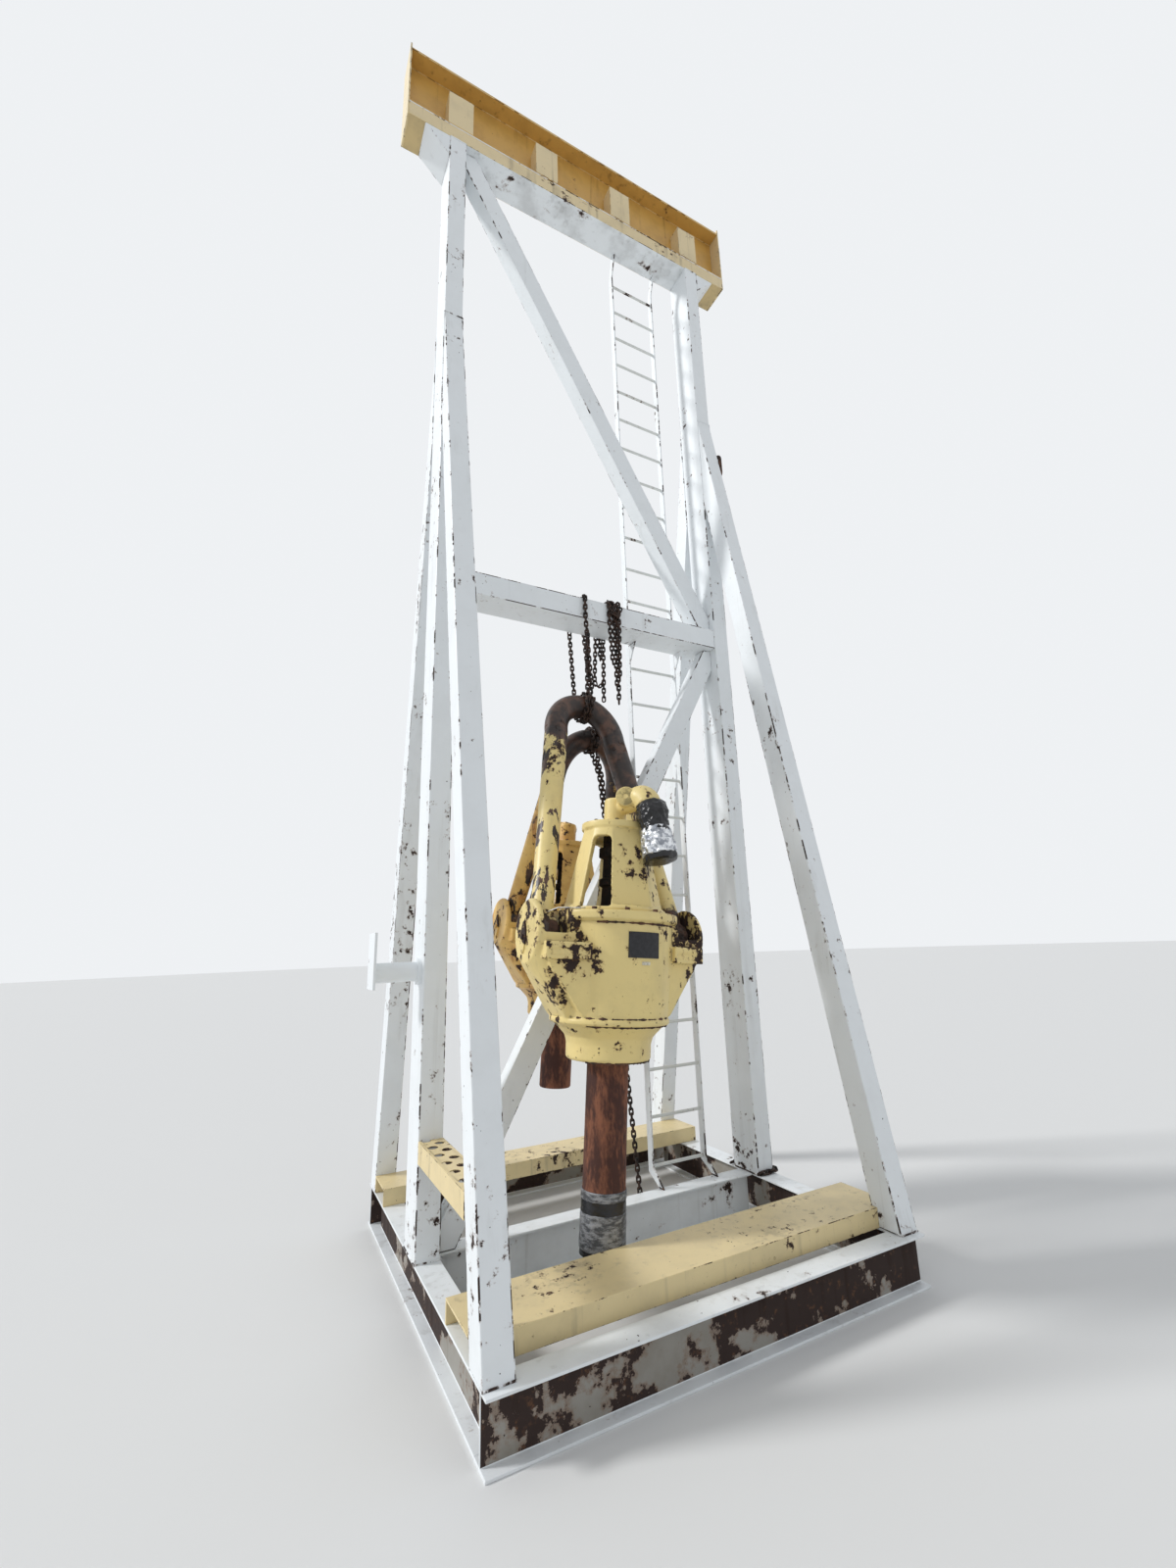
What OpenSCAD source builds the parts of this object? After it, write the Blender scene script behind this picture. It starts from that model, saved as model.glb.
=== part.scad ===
// A steel stand that stores two rotary swivels, hung on chains from its middle beam.
// Frame: origin on the ground at the middle of the base, X along the beams, Y to the rear, Z up.

/* [Posts and legs] */
// Distance between the two posts, centre to centre
post_span = 2318; // [2200:1:2400]
// Width of posts, legs and base beams
post_w = 135; // [125:1:145]
// Depth of posts and of the head tube
post_d = 261; // [245:1:280]
// Height of the underside of the head tube
post_top = 8262; // [8100:1:8400]
// Height where the front edge of a leg leaves its post
leg_top = 6467; // [6200:1:6700]
// Distance from the middle to the outer edge of a leg at the base
leg_reach = 1262; // [1240:1:1290]
// Thickness of a leg, measured across it
leg_t = 159; // [140:1:175]

/* [Base] */
// Height of the base beams
base_h = 250; // [220:1:280]
// Distance from the middle to the outer edge of the front and rear beams
base_reach = 1305; // [1295:1:1350]
// Thickness of the flanges of the base beams
flange_t = 12; // [8:1:16]
// Thickness of the webs of the base beams
web_t = 9; // [7:1:14]
// Depth of the two channels that lie across the base
channel_d = 381; // [340:1:390]
// Height of those channels
channel_h = 102; // [80:1:110]
// Thickness of those channels
channel_t = 11; // [8:1:14]
// Distance from the middle to the near edge of the front channel
front_channel_y = 742; // [735:1:760]
// Depth of the rear channel
rear_channel_d = 300; // [250:1:330]

/* [Head] */
// Length of the head tube and girder
head_len = 3112; // [3000:1:3200]
// Height of the head tube
head_tube_h = 129; // [110:1:150]
// Height of the girder that stands on the tube
girder_h = 609; // [560:1:640]
// Thickness of the girder's flanges
girder_flange_t = 18; // [14:1:24]
// Thickness of the girder's web
girder_web_t = 12; // [9:1:16]
// Width of the four stiffener boxes
stiffener_w = 207; // [180:1:230]
// Height of the stiffener boxes
stiffener_h = 352; // [300:1:420]
// Distance from the middle to the two inner stiffeners
stiffener_x = 372; // [300:1:450]
// Thickness of the end plates
end_plate_t = 12; // [8:1:20]
// Height of the end plates
end_plate_h = 788; // [770:1:820]
// Reach and drop of the haunches beside the posts
haunch = 203; // [150:1:230]

/* [Beam and braces] */
// Height of the top of the middle beam
mid_top = 4359; // [4200:1:4500]
// Height of the middle beam
mid_h = 166; // [140:1:190]
// Depth of the middle beam
mid_d = 248; // [220:1:258]
// Width of the upper brace
upper_brace_w = 154; // [130:1:170]
// Depth of the upper brace
upper_brace_d = 140; // [110:1:160]
// Width of the lower brace
lower_brace_w = 146; // [120:1:160]
// Depth of the lower brace
lower_brace_d = 112; // [90:1:130]

/* [Ladder] */
// Place of the left stringer, from the middle
ladder_x = 419; // [380:1:450]
// Clear width between the stringers
ladder_w = 427; // [400:1:460]
// Spacing of the rungs
rung_pitch = 304.8; // [290:0.1:306]
// Number of rungs
rung_n = 26; // [20:1:26]
// Height of the top rung
rung_top = 7973; // [7960:1:8000]
// Diameter of a rung
rung_dia = 22; // [16:1:26]
// Width of a stringer, front to back
stringer_d = 64; // [50:1:76]
// Thickness of a stringer
stringer_t = 13; // [10:1:16]

/* [Step, arm and shackle] */
// Depth of the step's turned-down edges
step_h = 108; // [60:1:130]
// Height of the top of the step
step_top = 835; // [780:1:900]
// Height of the stub arm on the left post
arm_z = 1717; // [1600:1:1800]
// Diameter of the stub arm
arm_dia = 110; // [90:1:130]
// Reach of the stub arm out of the post
arm_len = 273; // [220:1:320]
// Height of the middle of the shackle on the right leg
shackle_z = 5983; // [5700:1:6050]

/* [Swivels] */
// Lean of both swivels toward the right, in degrees
lean = 4.4; // [3.5:0.1:5]
// Place of the front swivel's pin line, from the middle
front_x = -264; // [-300:1:-230]
// Distance of the front swivel's pin line from the middle
front_y = 620; // [610:1:640]
// Height of the front swivel's pin line
front_z = 1876; // [1850:1:1900]
// Place of the rear swivel's pin line, from the middle
rear_x = -38; // [-80:1:-10]
// Distance of the rear swivel's pin line from the middle
rear_y = 550; // [530:1:580]
// Height of the rear swivel's pin line
rear_z = 1974; // [1950:1:2000]
// Size of the rear swivel's castings against the front one
rear_size = 0.96; // [0.94:0.01:0.97]
// Length of the front stem below the pin line
front_stem = 1590; // [1550:1:1620]
// Length of the rear stem below the pin line
rear_stem = 1114; // [1050:1:1180]
// Lean of the front bail to the rear, in degrees
front_tilt = 18.9; // [18:0.1:20]
// Lean of the rear bail to the front, in degrees
rear_tilt = 15; // [14:0.1:16]
// Height of the front bail along itself
front_bail_h = 1730; // [1700:1:1750]
// Height of the rear bail along itself
rear_bail_h = 1432; // [1410:1:1450]

/* [Swivel castings] */
// Radius of the body's top flange
flange_r = 380; // [370:1:386]
// Radius of the body below its top flange
body_r = 352; // [345:1:360]
// Radius of the band near the foot of the body
band_r = 337; // [325:1:345]
// Radius of the neck below the band
neck_r = 237; // [225:1:250]
// Radius of the stem
stem_r = 115; // [105:1:125]
// Distance from the axis to the outer face of an ear
ear_x = 532; // [525:1:545]
// Radius of the round outer face of an ear
ear_r = 180; // [170:1:190]
// Thickness of the outer wall of an ear
ear_wall = 34; // [28:1:36]
// Radius of the pins that carry the body
pin_r = 48; // [42:1:54]
// Diameter of a bail's bar at its eyes
bail_low = 128; // [120:1:130]
// Diameter of a bail's bar at its top
bail_high = 168; // [150:1:172]
// Half the distance between a bail's eyes
eye_x = 428; // [424:1:432]
// Half the distance between the front bail's shoulders
front_shoulder_x = 225; // [215:1:240]
// Height of the arch over the front bail's shoulders
front_arch = 280; // [250:1:320]
// Half the distance between the rear bail's shoulders
rear_shoulder_x = 258; // [245:1:265]
// Height of the arch over the rear bail's shoulders
rear_arch = 341; // [310:1:360]

/* [Chains] */
// Radius of the room that a chain takes
chain_r = 15; // [12:1:18]
// Place where the front sling hangs on the middle beam
front_sling_x = -120; // [-140:1:-100]
// Place where the rear sling hangs on the middle beam
rear_sling_x = 0; // [-20:1:20]
// Place where the spare chain hangs on the middle beam
spare_x = 140; // [120:1:160]
// Height of the free end of the spare chain
spare_low = 3546; // [3400:1:3700]

/* [Hidden] */

$fn = 48;
gap = 0.3;
chain_off = chain_r + gap;
run_gap = 0.1;
post_x = post_span / 2;
post_in = post_x - post_w / 2;
post_out = post_x + post_w / 2;
post_k = post_d / 2;
leg_slope = (leg_reach - post_k) / (leg_top - base_h);
leg_cut = leg_t / cos(atan(leg_slope));
end_beam_reach = base_reach - post_w;
head_top = post_top + head_tube_h;
girder_top = head_top + girder_h;
channel_top = base_h + channel_h;
channel_half = post_out;
ladder_y = post_k + stringer_d / 2;
stringer_left = ladder_x - stringer_t;
stringer_right = ladder_x + ladder_w;
mid_low = mid_top - mid_h;
mid_k = mid_d / 2;

steel_white = [0.86, 0.88, 0.87];
cream = [0.86, 0.76, 0.52];
yellow = [0.90, 0.78, 0.42];
rust = [0.33, 0.17, 0.11];
black = [0.07, 0.07, 0.08];

// A rolled section with its web upright: width, height, flange and web thickness.
module i_section(w, h, tf, tw) {
    square([w, tf], center = false);
    translate([w / 2 - tw / 2, 0]) square([tw, h]);
    translate([0, h - tf]) square([w, tf]);
}

// A beam of that section along X or along Y, standing on the ground.
module beam_x(len, y) {
    translate([-len / 2, y - post_w / 2, 0]) rotate([90, 0, 90]) linear_extrude(len)
        i_section(post_w, base_h, flange_t, web_t);
}
module beam_y(x) {
    translate([x + post_w / 2, -end_beam_reach, 0]) rotate([90, 0, 180]) linear_extrude(2 * end_beam_reach)
        i_section(post_w, base_h, flange_t, web_t);
}
module post(x) {
    translate([x - post_w / 2, -post_k, base_h]) cube([post_w, post_d, post_top - base_h]);
}

// A leg in the plane of its post; side is -1 for the front and 1 for the rear.
module leg(x, side) {
    translate([x - post_w / 2, 0, 0]) rotate([90, 0, 90]) linear_extrude(post_w) polygon([
        [side * post_k, leg_top], [side * leg_reach, base_h],
        [side * (leg_reach - leg_cut), base_h], [side * post_k, leg_top - leg_cut / leg_slope]]);
}
module stiffener(x, side) {
    y0 = side < 0 ? -post_k : girder_web_t / 2;
    translate([x - stiffener_w / 2, y0, head_top + girder_flange_t])
        cube([stiffener_w, post_k - girder_web_t / 2, stiffener_h]);
}
module end_plate(side) {
    x0 = side < 0 ? -head_len / 2 - end_plate_t : head_len / 2;
    translate([x0, -post_k, post_top]) cube([end_plate_t, post_d, end_plate_h]);
}
module haunch_block(side) {
    translate([0, post_k, 0]) rotate([90, 0, 0]) linear_extrude(post_d) polygon([
        [side * post_out, post_top], [side * (post_out + haunch), post_top],
        [side * post_out, post_top - haunch]]);
}

// A flat brace between the posts, cut to fit the corners that it runs into.
module brace(z_left, z_right, w, d, z_low, z_high) {
    rise = z_right - z_left;
    half = w / 2 / cos(atan(rise / (2 * post_in)));
    translate([0, d / 2, 0]) rotate([90, 0, 0]) linear_extrude(d) intersection() {
        polygon([[-post_in, z_left - half], [post_in, z_right - half],
            [post_in, z_right + half], [-post_in, z_left + half]]);
        translate([-post_in, z_low]) square([2 * post_in, z_high - z_low]);
    }
}

// A flat stringer; its top runs in to the head tube and its foot to the centre beam.
module stringer(x) {
    foot_y = post_w / 2;
    foot_z = base_h + 70;
    translate([x, 0, 0]) rotate([90, 0, 90]) linear_extrude(stringer_t) polygon([
        [post_k, rung_top + 100], [post_k - stringer_d, post_top], [post_k, post_top],
        [post_k + stringer_d, rung_top + 70], [post_k + stringer_d, foot_z],
        [foot_y, base_h], [foot_y - stringer_d, base_h], [post_k, foot_z + 40]]);
}
module rungs() {
    for (i = [0 : rung_n - 1])
        translate([ladder_x, ladder_y, rung_top - i * rung_pitch])
            rotate([0, 90, 0]) cylinder(h = ladder_w, d = rung_dia);
}

// A channel lying flat with its legs down, open at both ends.
module flat_channel(len, d) {
    translate([-len / 2, 0, base_h]) difference() {
        cube([len, d, channel_h]);
        translate([-1, channel_t, -channel_t]) cube([len + 2, d - 2 * channel_t, channel_h]);
    }
}

// The frame of a swivel: its pin line is the X axis and its own axis is Z.
module swivel_frame(x, y, z) {
    translate([x, y, z]) rotate([0, lean, 0]) children();
}
module front_frame() swivel_frame(front_x, -front_y, front_z) children();
module rear_frame() swivel_frame(rear_x, rear_y, rear_z) children();

// Heights of the body's features, from the pin line, at the front swivel's size.
ring_low = 66;
ring_high = 124;
band_z = -448;
band_h = 26;
neck_z = -555;
foot_z = -660;
bonnet_top = 620;
cap_h = 36;
bonnet_r = 300;
bonnet_cap_r = 190;
slot_in = eye_x - bail_low / 2 - 14;
slot_out = ear_x - ear_wall;
eye_r = 96;
eye_t = bail_low - 24;
stem_seat = 200;

// The body: a turned casting with two slotted ears for the bail.
module swivel_body(s) {
    difference() {
        scale(s) union() {
            rotate_extrude($fn = 96) polygon([
                [0, foot_z], [neck_r - 12, foot_z], [neck_r, foot_z + 14], [neck_r, neck_z],
                [neck_r + 12, neck_z + 34], [band_r - 34, band_z - band_h], [band_r, band_z - band_h / 2],
                [band_r, band_z + band_h / 2], [band_r - 8, band_z + band_h], [body_r - 8, -260], [body_r, -120],
                [body_r, ring_low], [flange_r, ring_low + 8], [flange_r, ring_high], [0, ring_high]]);
            for (side = [-1, 1]) hull() {
                translate([side * (ear_x + slot_in) / 2, 0, 0]) rotate([0, 90, 0])
                    cylinder(h = ear_x - slot_in, r = ear_r, center = true, $fn = 64);
                translate([side * (band_r - 45), 0, band_z + 45]) cube([70, 250, 60], center = true);
                translate([side * 200, 0, -60]) cube([60, 2 * ear_r, 240], center = true);
            }
        }
        for (side = [-1, 1]) scale(s) {
            translate([side * (slot_in + slot_out) / 2, 0, 0]) {
                rotate([0, 90, 0]) cylinder(h = slot_out - slot_in, r = eye_r + 14, center = true);
                translate([0, 0, 200]) cube([slot_out - slot_in, 560, 400], center = true);
                translate([0, 0, 50]) cube([slot_out - slot_in, 560, 110], center = true);
            }
        }
        scale(s) translate([-slot_out, -280, ring_high]) cube([2 * slot_out, 560, 100]);
        for (side = [-1, 1]) scale(s) translate([side * (slot_in - 80), 0, 0]) rotate([0, side * 90, 0])
            cylinder(h = ear_x, r = pin_r + run_gap);
        translate([0, 0, s * foot_z - 1]) cylinder(h = stem_seat, r = s * stem_r + run_gap, $fn = 64);
    }
}
module swivel_pins(s) {
    for (side = [-1, 1]) scale(s) translate([side * (slot_in - 79), 0, 0]) rotate([0, side * 90, 0])
        cylinder(h = ear_x - slot_in + 79, r = pin_r);
}

// Centre line of a bail as points [across, up], from the left eye over the top to the right eye.
function bail_line(h, ex, sx, arch) = let (rise = h - arch) concat(
    [[-ex, 0], [-ex, 0.09 * rise]],
    [for (t = [0.25 : 0.25 : 0.75]) [-ex + (ex - sx) * t, rise * (0.09 + 0.91 * t)]],
    [for (a = [180 : -12 : 0]) [sx * cos(a), rise + arch * sin(a)]],
    [for (t = [0.75 : -0.25 : 0.25]) [ex - (ex - sx) * t, rise * (0.09 + 0.91 * t)]],
    [[ex, 0.09 * rise], [ex, 0]]);
function unit(v) = v / norm(v);

// A round bar along that line, thicker toward its top.
module bail_bar(line, low, high, h, sides) {
    n = len(line);
    points = [for (i = [0 : n - 1]) let (
        along = unit(line[min(i + 1, n - 1)] - line[max(i - 1, 0)]),
        r = (low + (high - low) * line[i][1] / h) / 2)
        for (k = [0 : sides - 1]) let (a = -360 * k / sides)
            [line[i][0] - along[1] * r * cos(a), r * sin(a), line[i][1] + along[0] * r * cos(a)]];
    polyhedron(points, concat(
        [[for (k = [0 : sides - 1]) k]],
        [for (i = [0 : n - 2], k = [0 : sides - 1])
            [i * sides + k, (i + 1) * sides + k, i * sides + (k + 1) % sides]],
        [for (i = [0 : n - 2], k = [0 : sides - 1])
            [(i + 1) * sides + k, (i + 1) * sides + (k + 1) % sides, i * sides + (k + 1) % sides]],
        [[for (k = [sides - 1 : -1 : 0]) (n - 1) * sides + k]]));
}
module bail(h, s, tilt, sx, arch) {
    rotate([tilt, 0, 0]) difference() {
        union() {
            bail_bar(bail_line(h, s * eye_x, sx, arch), s * bail_low, s * bail_high, h, 20);
            for (side = [-1, 1]) translate([side * s * eye_x, 0, 0]) rotate([0, 90, 0])
                cylinder(h = s * eye_t, r = s * eye_r, center = true);
        }
        rotate([0, 90, 0]) cylinder(h = 4 * s * eye_x, r = s * pin_r + run_gap, center = true);
    }
}

// The bonnet: a hollow cone with three windows, and the wash pipe inside it.
window_turn = 101;
window_foot = 88;
window_head = 60;
window_corner = 24;
window_low = ring_high + 22;
window_high = bonnet_top - 60;
module bonnet(s) {
    wall = 30;
    scale(s) {
        difference() {
            union() {
                translate([0, 0, ring_high + gap]) cylinder(h = bonnet_top - ring_high, r1 = bonnet_r, r2 = bonnet_cap_r, $fn = 64);
                translate([0, 0, bonnet_top]) cylinder(h = cap_h, r = bonnet_cap_r + 8, $fn = 64);
            }
            translate([0, 0, ring_high - 1])
                cylinder(h = bonnet_top - ring_high - 19, r1 = bonnet_r - wall, r2 = bonnet_cap_r - wall, $fn = 64);
            for (a = [0 : 120 : 240]) rotate([0, 0, a + window_turn]) rotate([90, 0, 90])
                linear_extrude(bonnet_r + 50) polygon([[-window_foot, window_low], [window_foot, window_low],
                    [window_head, window_high - window_corner], [window_head - window_corner, window_high],
                    [window_corner - window_head, window_high], [-window_head, window_high - window_corner]]);
        }
        translate([0, 0, ring_high + gap]) cylinder(h = bonnet_top - ring_high - 20, r = 68);
    }
}

// The gooseneck: an upright with a plug, an elbow, and an outlet that points down; turn is its heading.
lobe_r = 78;
neck_bar_r = 50;
neck_bar_drop = 30;
upright_r = 68;
upright_h = 165;
plug_r = 56;
plug_rise = 147;
plug_place = 75;
plug_reach = 90;
plug_turn = -47;
elbow_rise = 150;
elbow_reach = 256;
outlet_r = 66;
outlet_angle = 167;
outlet_seat = 80;
film_len = 100;
film_r = 90;
film_end_r = 78;
foil_len = 228;
foil_r = 98;
foil_end = 100;
foil_wall = 20;
front_outlet = -68;
rear_outlet = 85;
module gooseneck(s, turn) {
    rise = bonnet_top + cap_h + gap;
    scale(s) {
        translate([0, 0, rise]) cylinder(h = upright_h, r = upright_r);
        rotate([0, 0, turn]) {
            translate([0, 0, rise + elbow_rise - neck_bar_drop]) rotate([0, 90, 0]) cylinder(h = elbow_reach, r = neck_bar_r);
            translate([elbow_reach, 0, rise + elbow_rise]) {
                sphere(r = lobe_r);
                rotate([0, outlet_angle, 0]) cylinder(h = outlet_seat, r = outlet_r);
            }
            translate([plug_place, 0, rise + plug_rise]) rotate([0, 0, plug_turn]) rotate([0, 90, 0])
                cylinder(h = plug_reach, r = plug_r);
        }
    }
}
module outlet_wrap(s, turn) {
    rise = bonnet_top + cap_h + gap;
    foil_top = outlet_seat + film_len + gap;
    scale(s) rotate([0, 0, turn]) translate([elbow_reach, 0, rise + elbow_rise]) rotate([0, outlet_angle, 0]) {
        translate([0, 0, outlet_seat + gap]) cylinder(h = film_len, r1 = film_r, r2 = film_end_r);
        translate([0, 0, foil_top]) difference() {
            cylinder(h = foil_len, r1 = film_end_r, r2 = foil_r);
            translate([0, 0, foil_end]) cylinder(h = foil_len, r = foil_r - foil_wall);
        }
    }
}
module stem_pipe(s, length) {
    top = s * foot_z + stem_seat - 5;
    translate([0, 0, -length]) difference() {
        cylinder(h = length + top, r = s * stem_r, $fn = 64);
        translate([0, 0, -1]) cylinder(h = 120, r = s * stem_r - 42);
    }
}

// A chain run through the given points, as one round bar.
module chain_run(points) {
    for (i = [0 : len(points) - 2]) let (v = points[i + 1] - points[i])
        translate(points[i]) rotate([0, acos(v[2] / norm(v)), atan2(v[1], v[0])])
            cylinder(h = norm(v), r = chain_r, $fn = 24);
    for (p = points) translate(p) sphere(r = chain_r, $fn = 24);
}

// A straight strand, cut back by the given lengths at its two ends.
strand_r = chain_r - 1.5;
module strand(p, q, start = 0, end = 0) {
    v = q - p;
    translate(p) rotate([0, acos(v[2] / norm(v)), atan2(v[1], v[0])]) translate([0, 0, start])
        cylinder(h = norm(v) - start - end, r = strand_r, $fn = 24);
}

// Strands laid end to end; each meets the next at the inside of its bend.
function bend_cut(u, v) = gap / 2 + strand_r * tan(acos(unit(u) * unit(v)) / 2);
module slack_run(points) {
    last = len(points) - 2;
    steps = [for (i = [0 : last]) points[i + 1] - points[i]];
    for (i = [0 : last]) strand(points[i], points[i + 1], i == 0 ? 0 : bend_cut(steps[i - 1], steps[i]),
        i == last ? 0 : bend_cut(steps[i], steps[i + 1]));
}

// A closed ring of chain around a bar of radius bar_r, in the YZ plane.
ring_slack = 1.2;
module chain_ring(bar_r) {
    rotate([0, 90, 0]) rotate_extrude() translate([bar_r + chain_off + ring_slack, 0]) circle(chain_r, $fn = 24);
}

// A loop of chain around the middle beam at x.
module beam_loop(x) {
    y = mid_k + chain_off;
    chain_run([[x, -y, mid_top + chain_off], [x, y, mid_top + chain_off], [x, y, mid_low - chain_off],
        [x, -y, mid_low - chain_off], [x, -y, mid_top + chain_off]]);
}
// Where a bail's top lies in the frame of the stand.
function bail_top(x, y, z, h, tilt) = [x + h * cos(tilt) * sin(lean), y - h * sin(tilt), z + h * cos(tilt) * cos(lean)];
front_top = bail_top(front_x, -front_y, front_z, front_bail_h, -front_tilt);
rear_top = bail_top(rear_x, rear_y, rear_z, rear_bail_h, rear_tilt);

module base_front_beam() { color(steel_white) beam_x(2 * post_out, -base_reach + post_w / 2); }
module base_rear_beam() { color(steel_white) beam_x(2 * post_out, base_reach - post_w / 2); }
module base_centre_beam() { color(steel_white) beam_x(2 * post_in, 0); }
module base_left_beam() { color(steel_white) beam_y(-post_x); }
module base_right_beam() { color(steel_white) beam_y(post_x); }
module left_post() { color(steel_white) post(-post_x); }
module right_post() { color(steel_white) post(post_x); }
module left_front_leg() { color(steel_white) leg(-post_x, -1); }
module right_front_leg() { color(steel_white) leg(post_x, -1); }
module left_rear_leg() { color(steel_white) leg(-post_x, 1); }
module right_rear_leg() { color(steel_white) leg(post_x, 1); }
module head_tube() {
    color(cream) translate([-head_len / 2, -post_k, post_top]) cube([head_len, post_d, head_tube_h]);
}
module head_girder() {
    color(yellow) translate([-head_len / 2, -post_k, head_top]) rotate([90, 0, 90]) linear_extrude(head_len)
        i_section(post_d, girder_h, girder_flange_t, girder_web_t);
}
module head_stiffeners() {
    color(cream) for (side = [-1, 1], x = [-post_x + 17, -stiffener_x, stiffener_x, post_x - 17]) stiffener(x, side);
}
module left_end_plate() { color(cream) end_plate(-1); }
module right_end_plate() { color(cream) end_plate(1); }
module haunches() { color(steel_white) for (side = [-1, 1]) haunch_block(side); }
module middle_beam() {
    color(steel_white) translate([-post_in, -mid_k, mid_low]) cube([2 * post_in, mid_d, mid_h]);
}
module upper_brace() {
    color(steel_white) brace(post_top + 25, mid_top - 30, upper_brace_w, upper_brace_d, mid_top, post_top);
}
module lower_brace() {
    color(steel_white) brace(base_h - 34, mid_low - 19, lower_brace_w, lower_brace_d, base_h, mid_low);
}
module left_stringer() { color(steel_white) stringer(stringer_left); }
module right_stringer() { color(steel_white) stringer(stringer_right); }
module ladder_rungs() { color(steel_white) rungs(); }
module ladder_bracket() {
    color(steel_white) for (x = [stringer_left, stringer_right])
        translate([x, 0, 0]) rotate([90, 0, 90]) linear_extrude(stringer_t)
            polygon([[mid_k, mid_low], [post_k, mid_low], [post_k, mid_low - 150], [mid_k - 90, mid_low]]);
}
module front_channel() {
    color(cream) difference() {
        translate([0, -front_channel_y - channel_d, 0]) flat_channel(2 * channel_half, channel_d);
        for (x = [-post_x, post_x]) leg(x, -1);
    }
}
module rear_channel() {
    color(cream) translate([0, leg_reach - leg_cut - channel_h * leg_slope - rear_channel_d, 0])
        flat_channel(2 * channel_half, rear_channel_d);
}

// The step: a channel with two staggered rows of round holes, from the post to the front leg.
hole_pitch = 142;
hole_r = 25;
first_hole = 70;
module perforated_step() {
    reach = leg_reach - leg_cut - (step_top - base_h) * leg_slope;
    skin = 5;
    run = reach - post_k;
    holes = floor((run - 2 * first_hole) / hole_pitch);
    color(cream) translate([-post_out, -reach, step_top - step_h]) difference() {
        cube([post_w, run, step_h]);
        translate([skin, -1, -1]) cube([post_w - 2 * skin, run + 2, step_h - skin + 1]);
        for (i = [0 : holes], row = [0, 1])
            translate([post_w * (0.3 + 0.4 * row), first_hole + hole_pitch * (i + (1 - row) / 2), 0])
                cylinder(h = 2 * step_h, r = hole_r, $fn = 32);
    }
}
module stub_arm() {
    plate = 14;
    color(steel_white) translate([-post_out, -25, arm_z]) {
        rotate([0, -90, 0]) cylinder(h = 20, r = 75);
        rotate([0, -90, 0]) cylinder(h = arm_len - plate, d = arm_dia);
        translate([-arm_len, -100, -87]) cube([plate, 200, 310]);
    }
}
// The shackle: a tall ring on the outer side of the right front leg.
module leg_shackle() {
    bar = 16;
    loop_h = 130;
    loop_r = 46;
    y = -post_k - (leg_top - shackle_z) * leg_slope + 60;
    color(rust) translate([post_out, y, shackle_z]) {
        translate([bar + 9, 0, 0]) {
            translate([0, -loop_r, -loop_h / 2]) cylinder(h = loop_h, r = bar);
            translate([0, loop_r, -loop_h / 2]) cylinder(h = loop_h, r = bar);
            for (side = [-1, 1]) translate([0, 0, side * loop_h / 2]) rotate([0, 90, 0]) intersection() {
                rotate_extrude() translate([loop_r, 0]) circle(bar);
                translate([-side * loop_r * 2, 0, 0]) cube(loop_r * 4, center = true);
            }
        }
        translate([0, -70, -24]) cube([bar, 140, 48]);
    }
}
module front_bail() { color(yellow) front_frame() bail(front_bail_h, 1, -front_tilt, front_shoulder_x, front_arch); }
module front_body() { color(yellow) front_frame() swivel_body(1); }
module front_pins() { color(rust) front_frame() swivel_pins(1); }
module front_bonnet() { color(yellow) front_frame() bonnet(1); }
module front_gooseneck() { color(yellow) front_frame() gooseneck(1, front_outlet); }
module front_outlet_wrap() { color(black) front_frame() outlet_wrap(1, front_outlet); }
module front_stem_pipe() { color(rust) front_frame() stem_pipe(1, front_stem); }
module rear_bail() { color(rust) rear_frame() bail(rear_bail_h, rear_size, rear_tilt, rear_shoulder_x, rear_arch); }
module rear_body() { color(yellow) rear_frame() swivel_body(rear_size); }
module rear_pins() { color(rust) rear_frame() swivel_pins(rear_size); }
module rear_bonnet() { color(yellow) rear_frame() bonnet(rear_size); }
module rear_gooseneck() { color(yellow) rear_frame() gooseneck(rear_size, rear_outlet); }
module rear_outlet_wrap() { color(black) rear_frame() outlet_wrap(rear_size, rear_outlet); }
module rear_stem_pipe() { color(rust) rear_frame() stem_pipe(rear_size, rear_stem); }

// The slings: a loop around the beam, strands and a ring around the bail. The long end of the rear
// sling hangs down between the two swivels, behind the lower brace and the centre beam.
ring_under = rear_size * bail_high / 2 + chain_off + chain_r + 2.6;
tail_y = lower_brace_d / 2 + chain_r + 22;
tail_line = [rear_top - ring_under * [sin(lean), 0, cos(lean)], [110, tail_y, 2700], [212, tail_y, 950],
    [290, tail_y + 12, 120]];
module front_sling_chain() {
    bar_r = bail_high / 2;
    color(rust) {
        beam_loop(front_sling_x);
        strand([front_sling_x, -mid_k - chain_off, mid_low - chain_off], front_top - [0, bar_r + chain_off, 0]);
        strand([front_sling_x, mid_k + chain_off, mid_low - chain_off], front_top + [0, bar_r + chain_off, 0]);
        translate(front_top) rotate([0, lean, 0]) chain_ring(bar_r);
    }
}
module rear_sling_chain() {
    bar_r = rear_size * bail_high / 2;
    color(rust) {
        beam_loop(rear_sling_x);
        strand([rear_sling_x, mid_k + chain_off, mid_low - chain_off], rear_top - [0, bar_r + chain_off, 0]);
        slack_run(tail_line);
        translate(rear_top) rotate([0, lean, 0]) chain_ring(bar_r);
    }
}
module spare_chain() {
    color(rust) {
        beam_loop(spare_x);
        chain_run([[spare_x, -mid_k - chain_off, mid_low], [spare_x, -mid_k - chain_off, spare_low]]);
    }
}

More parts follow.
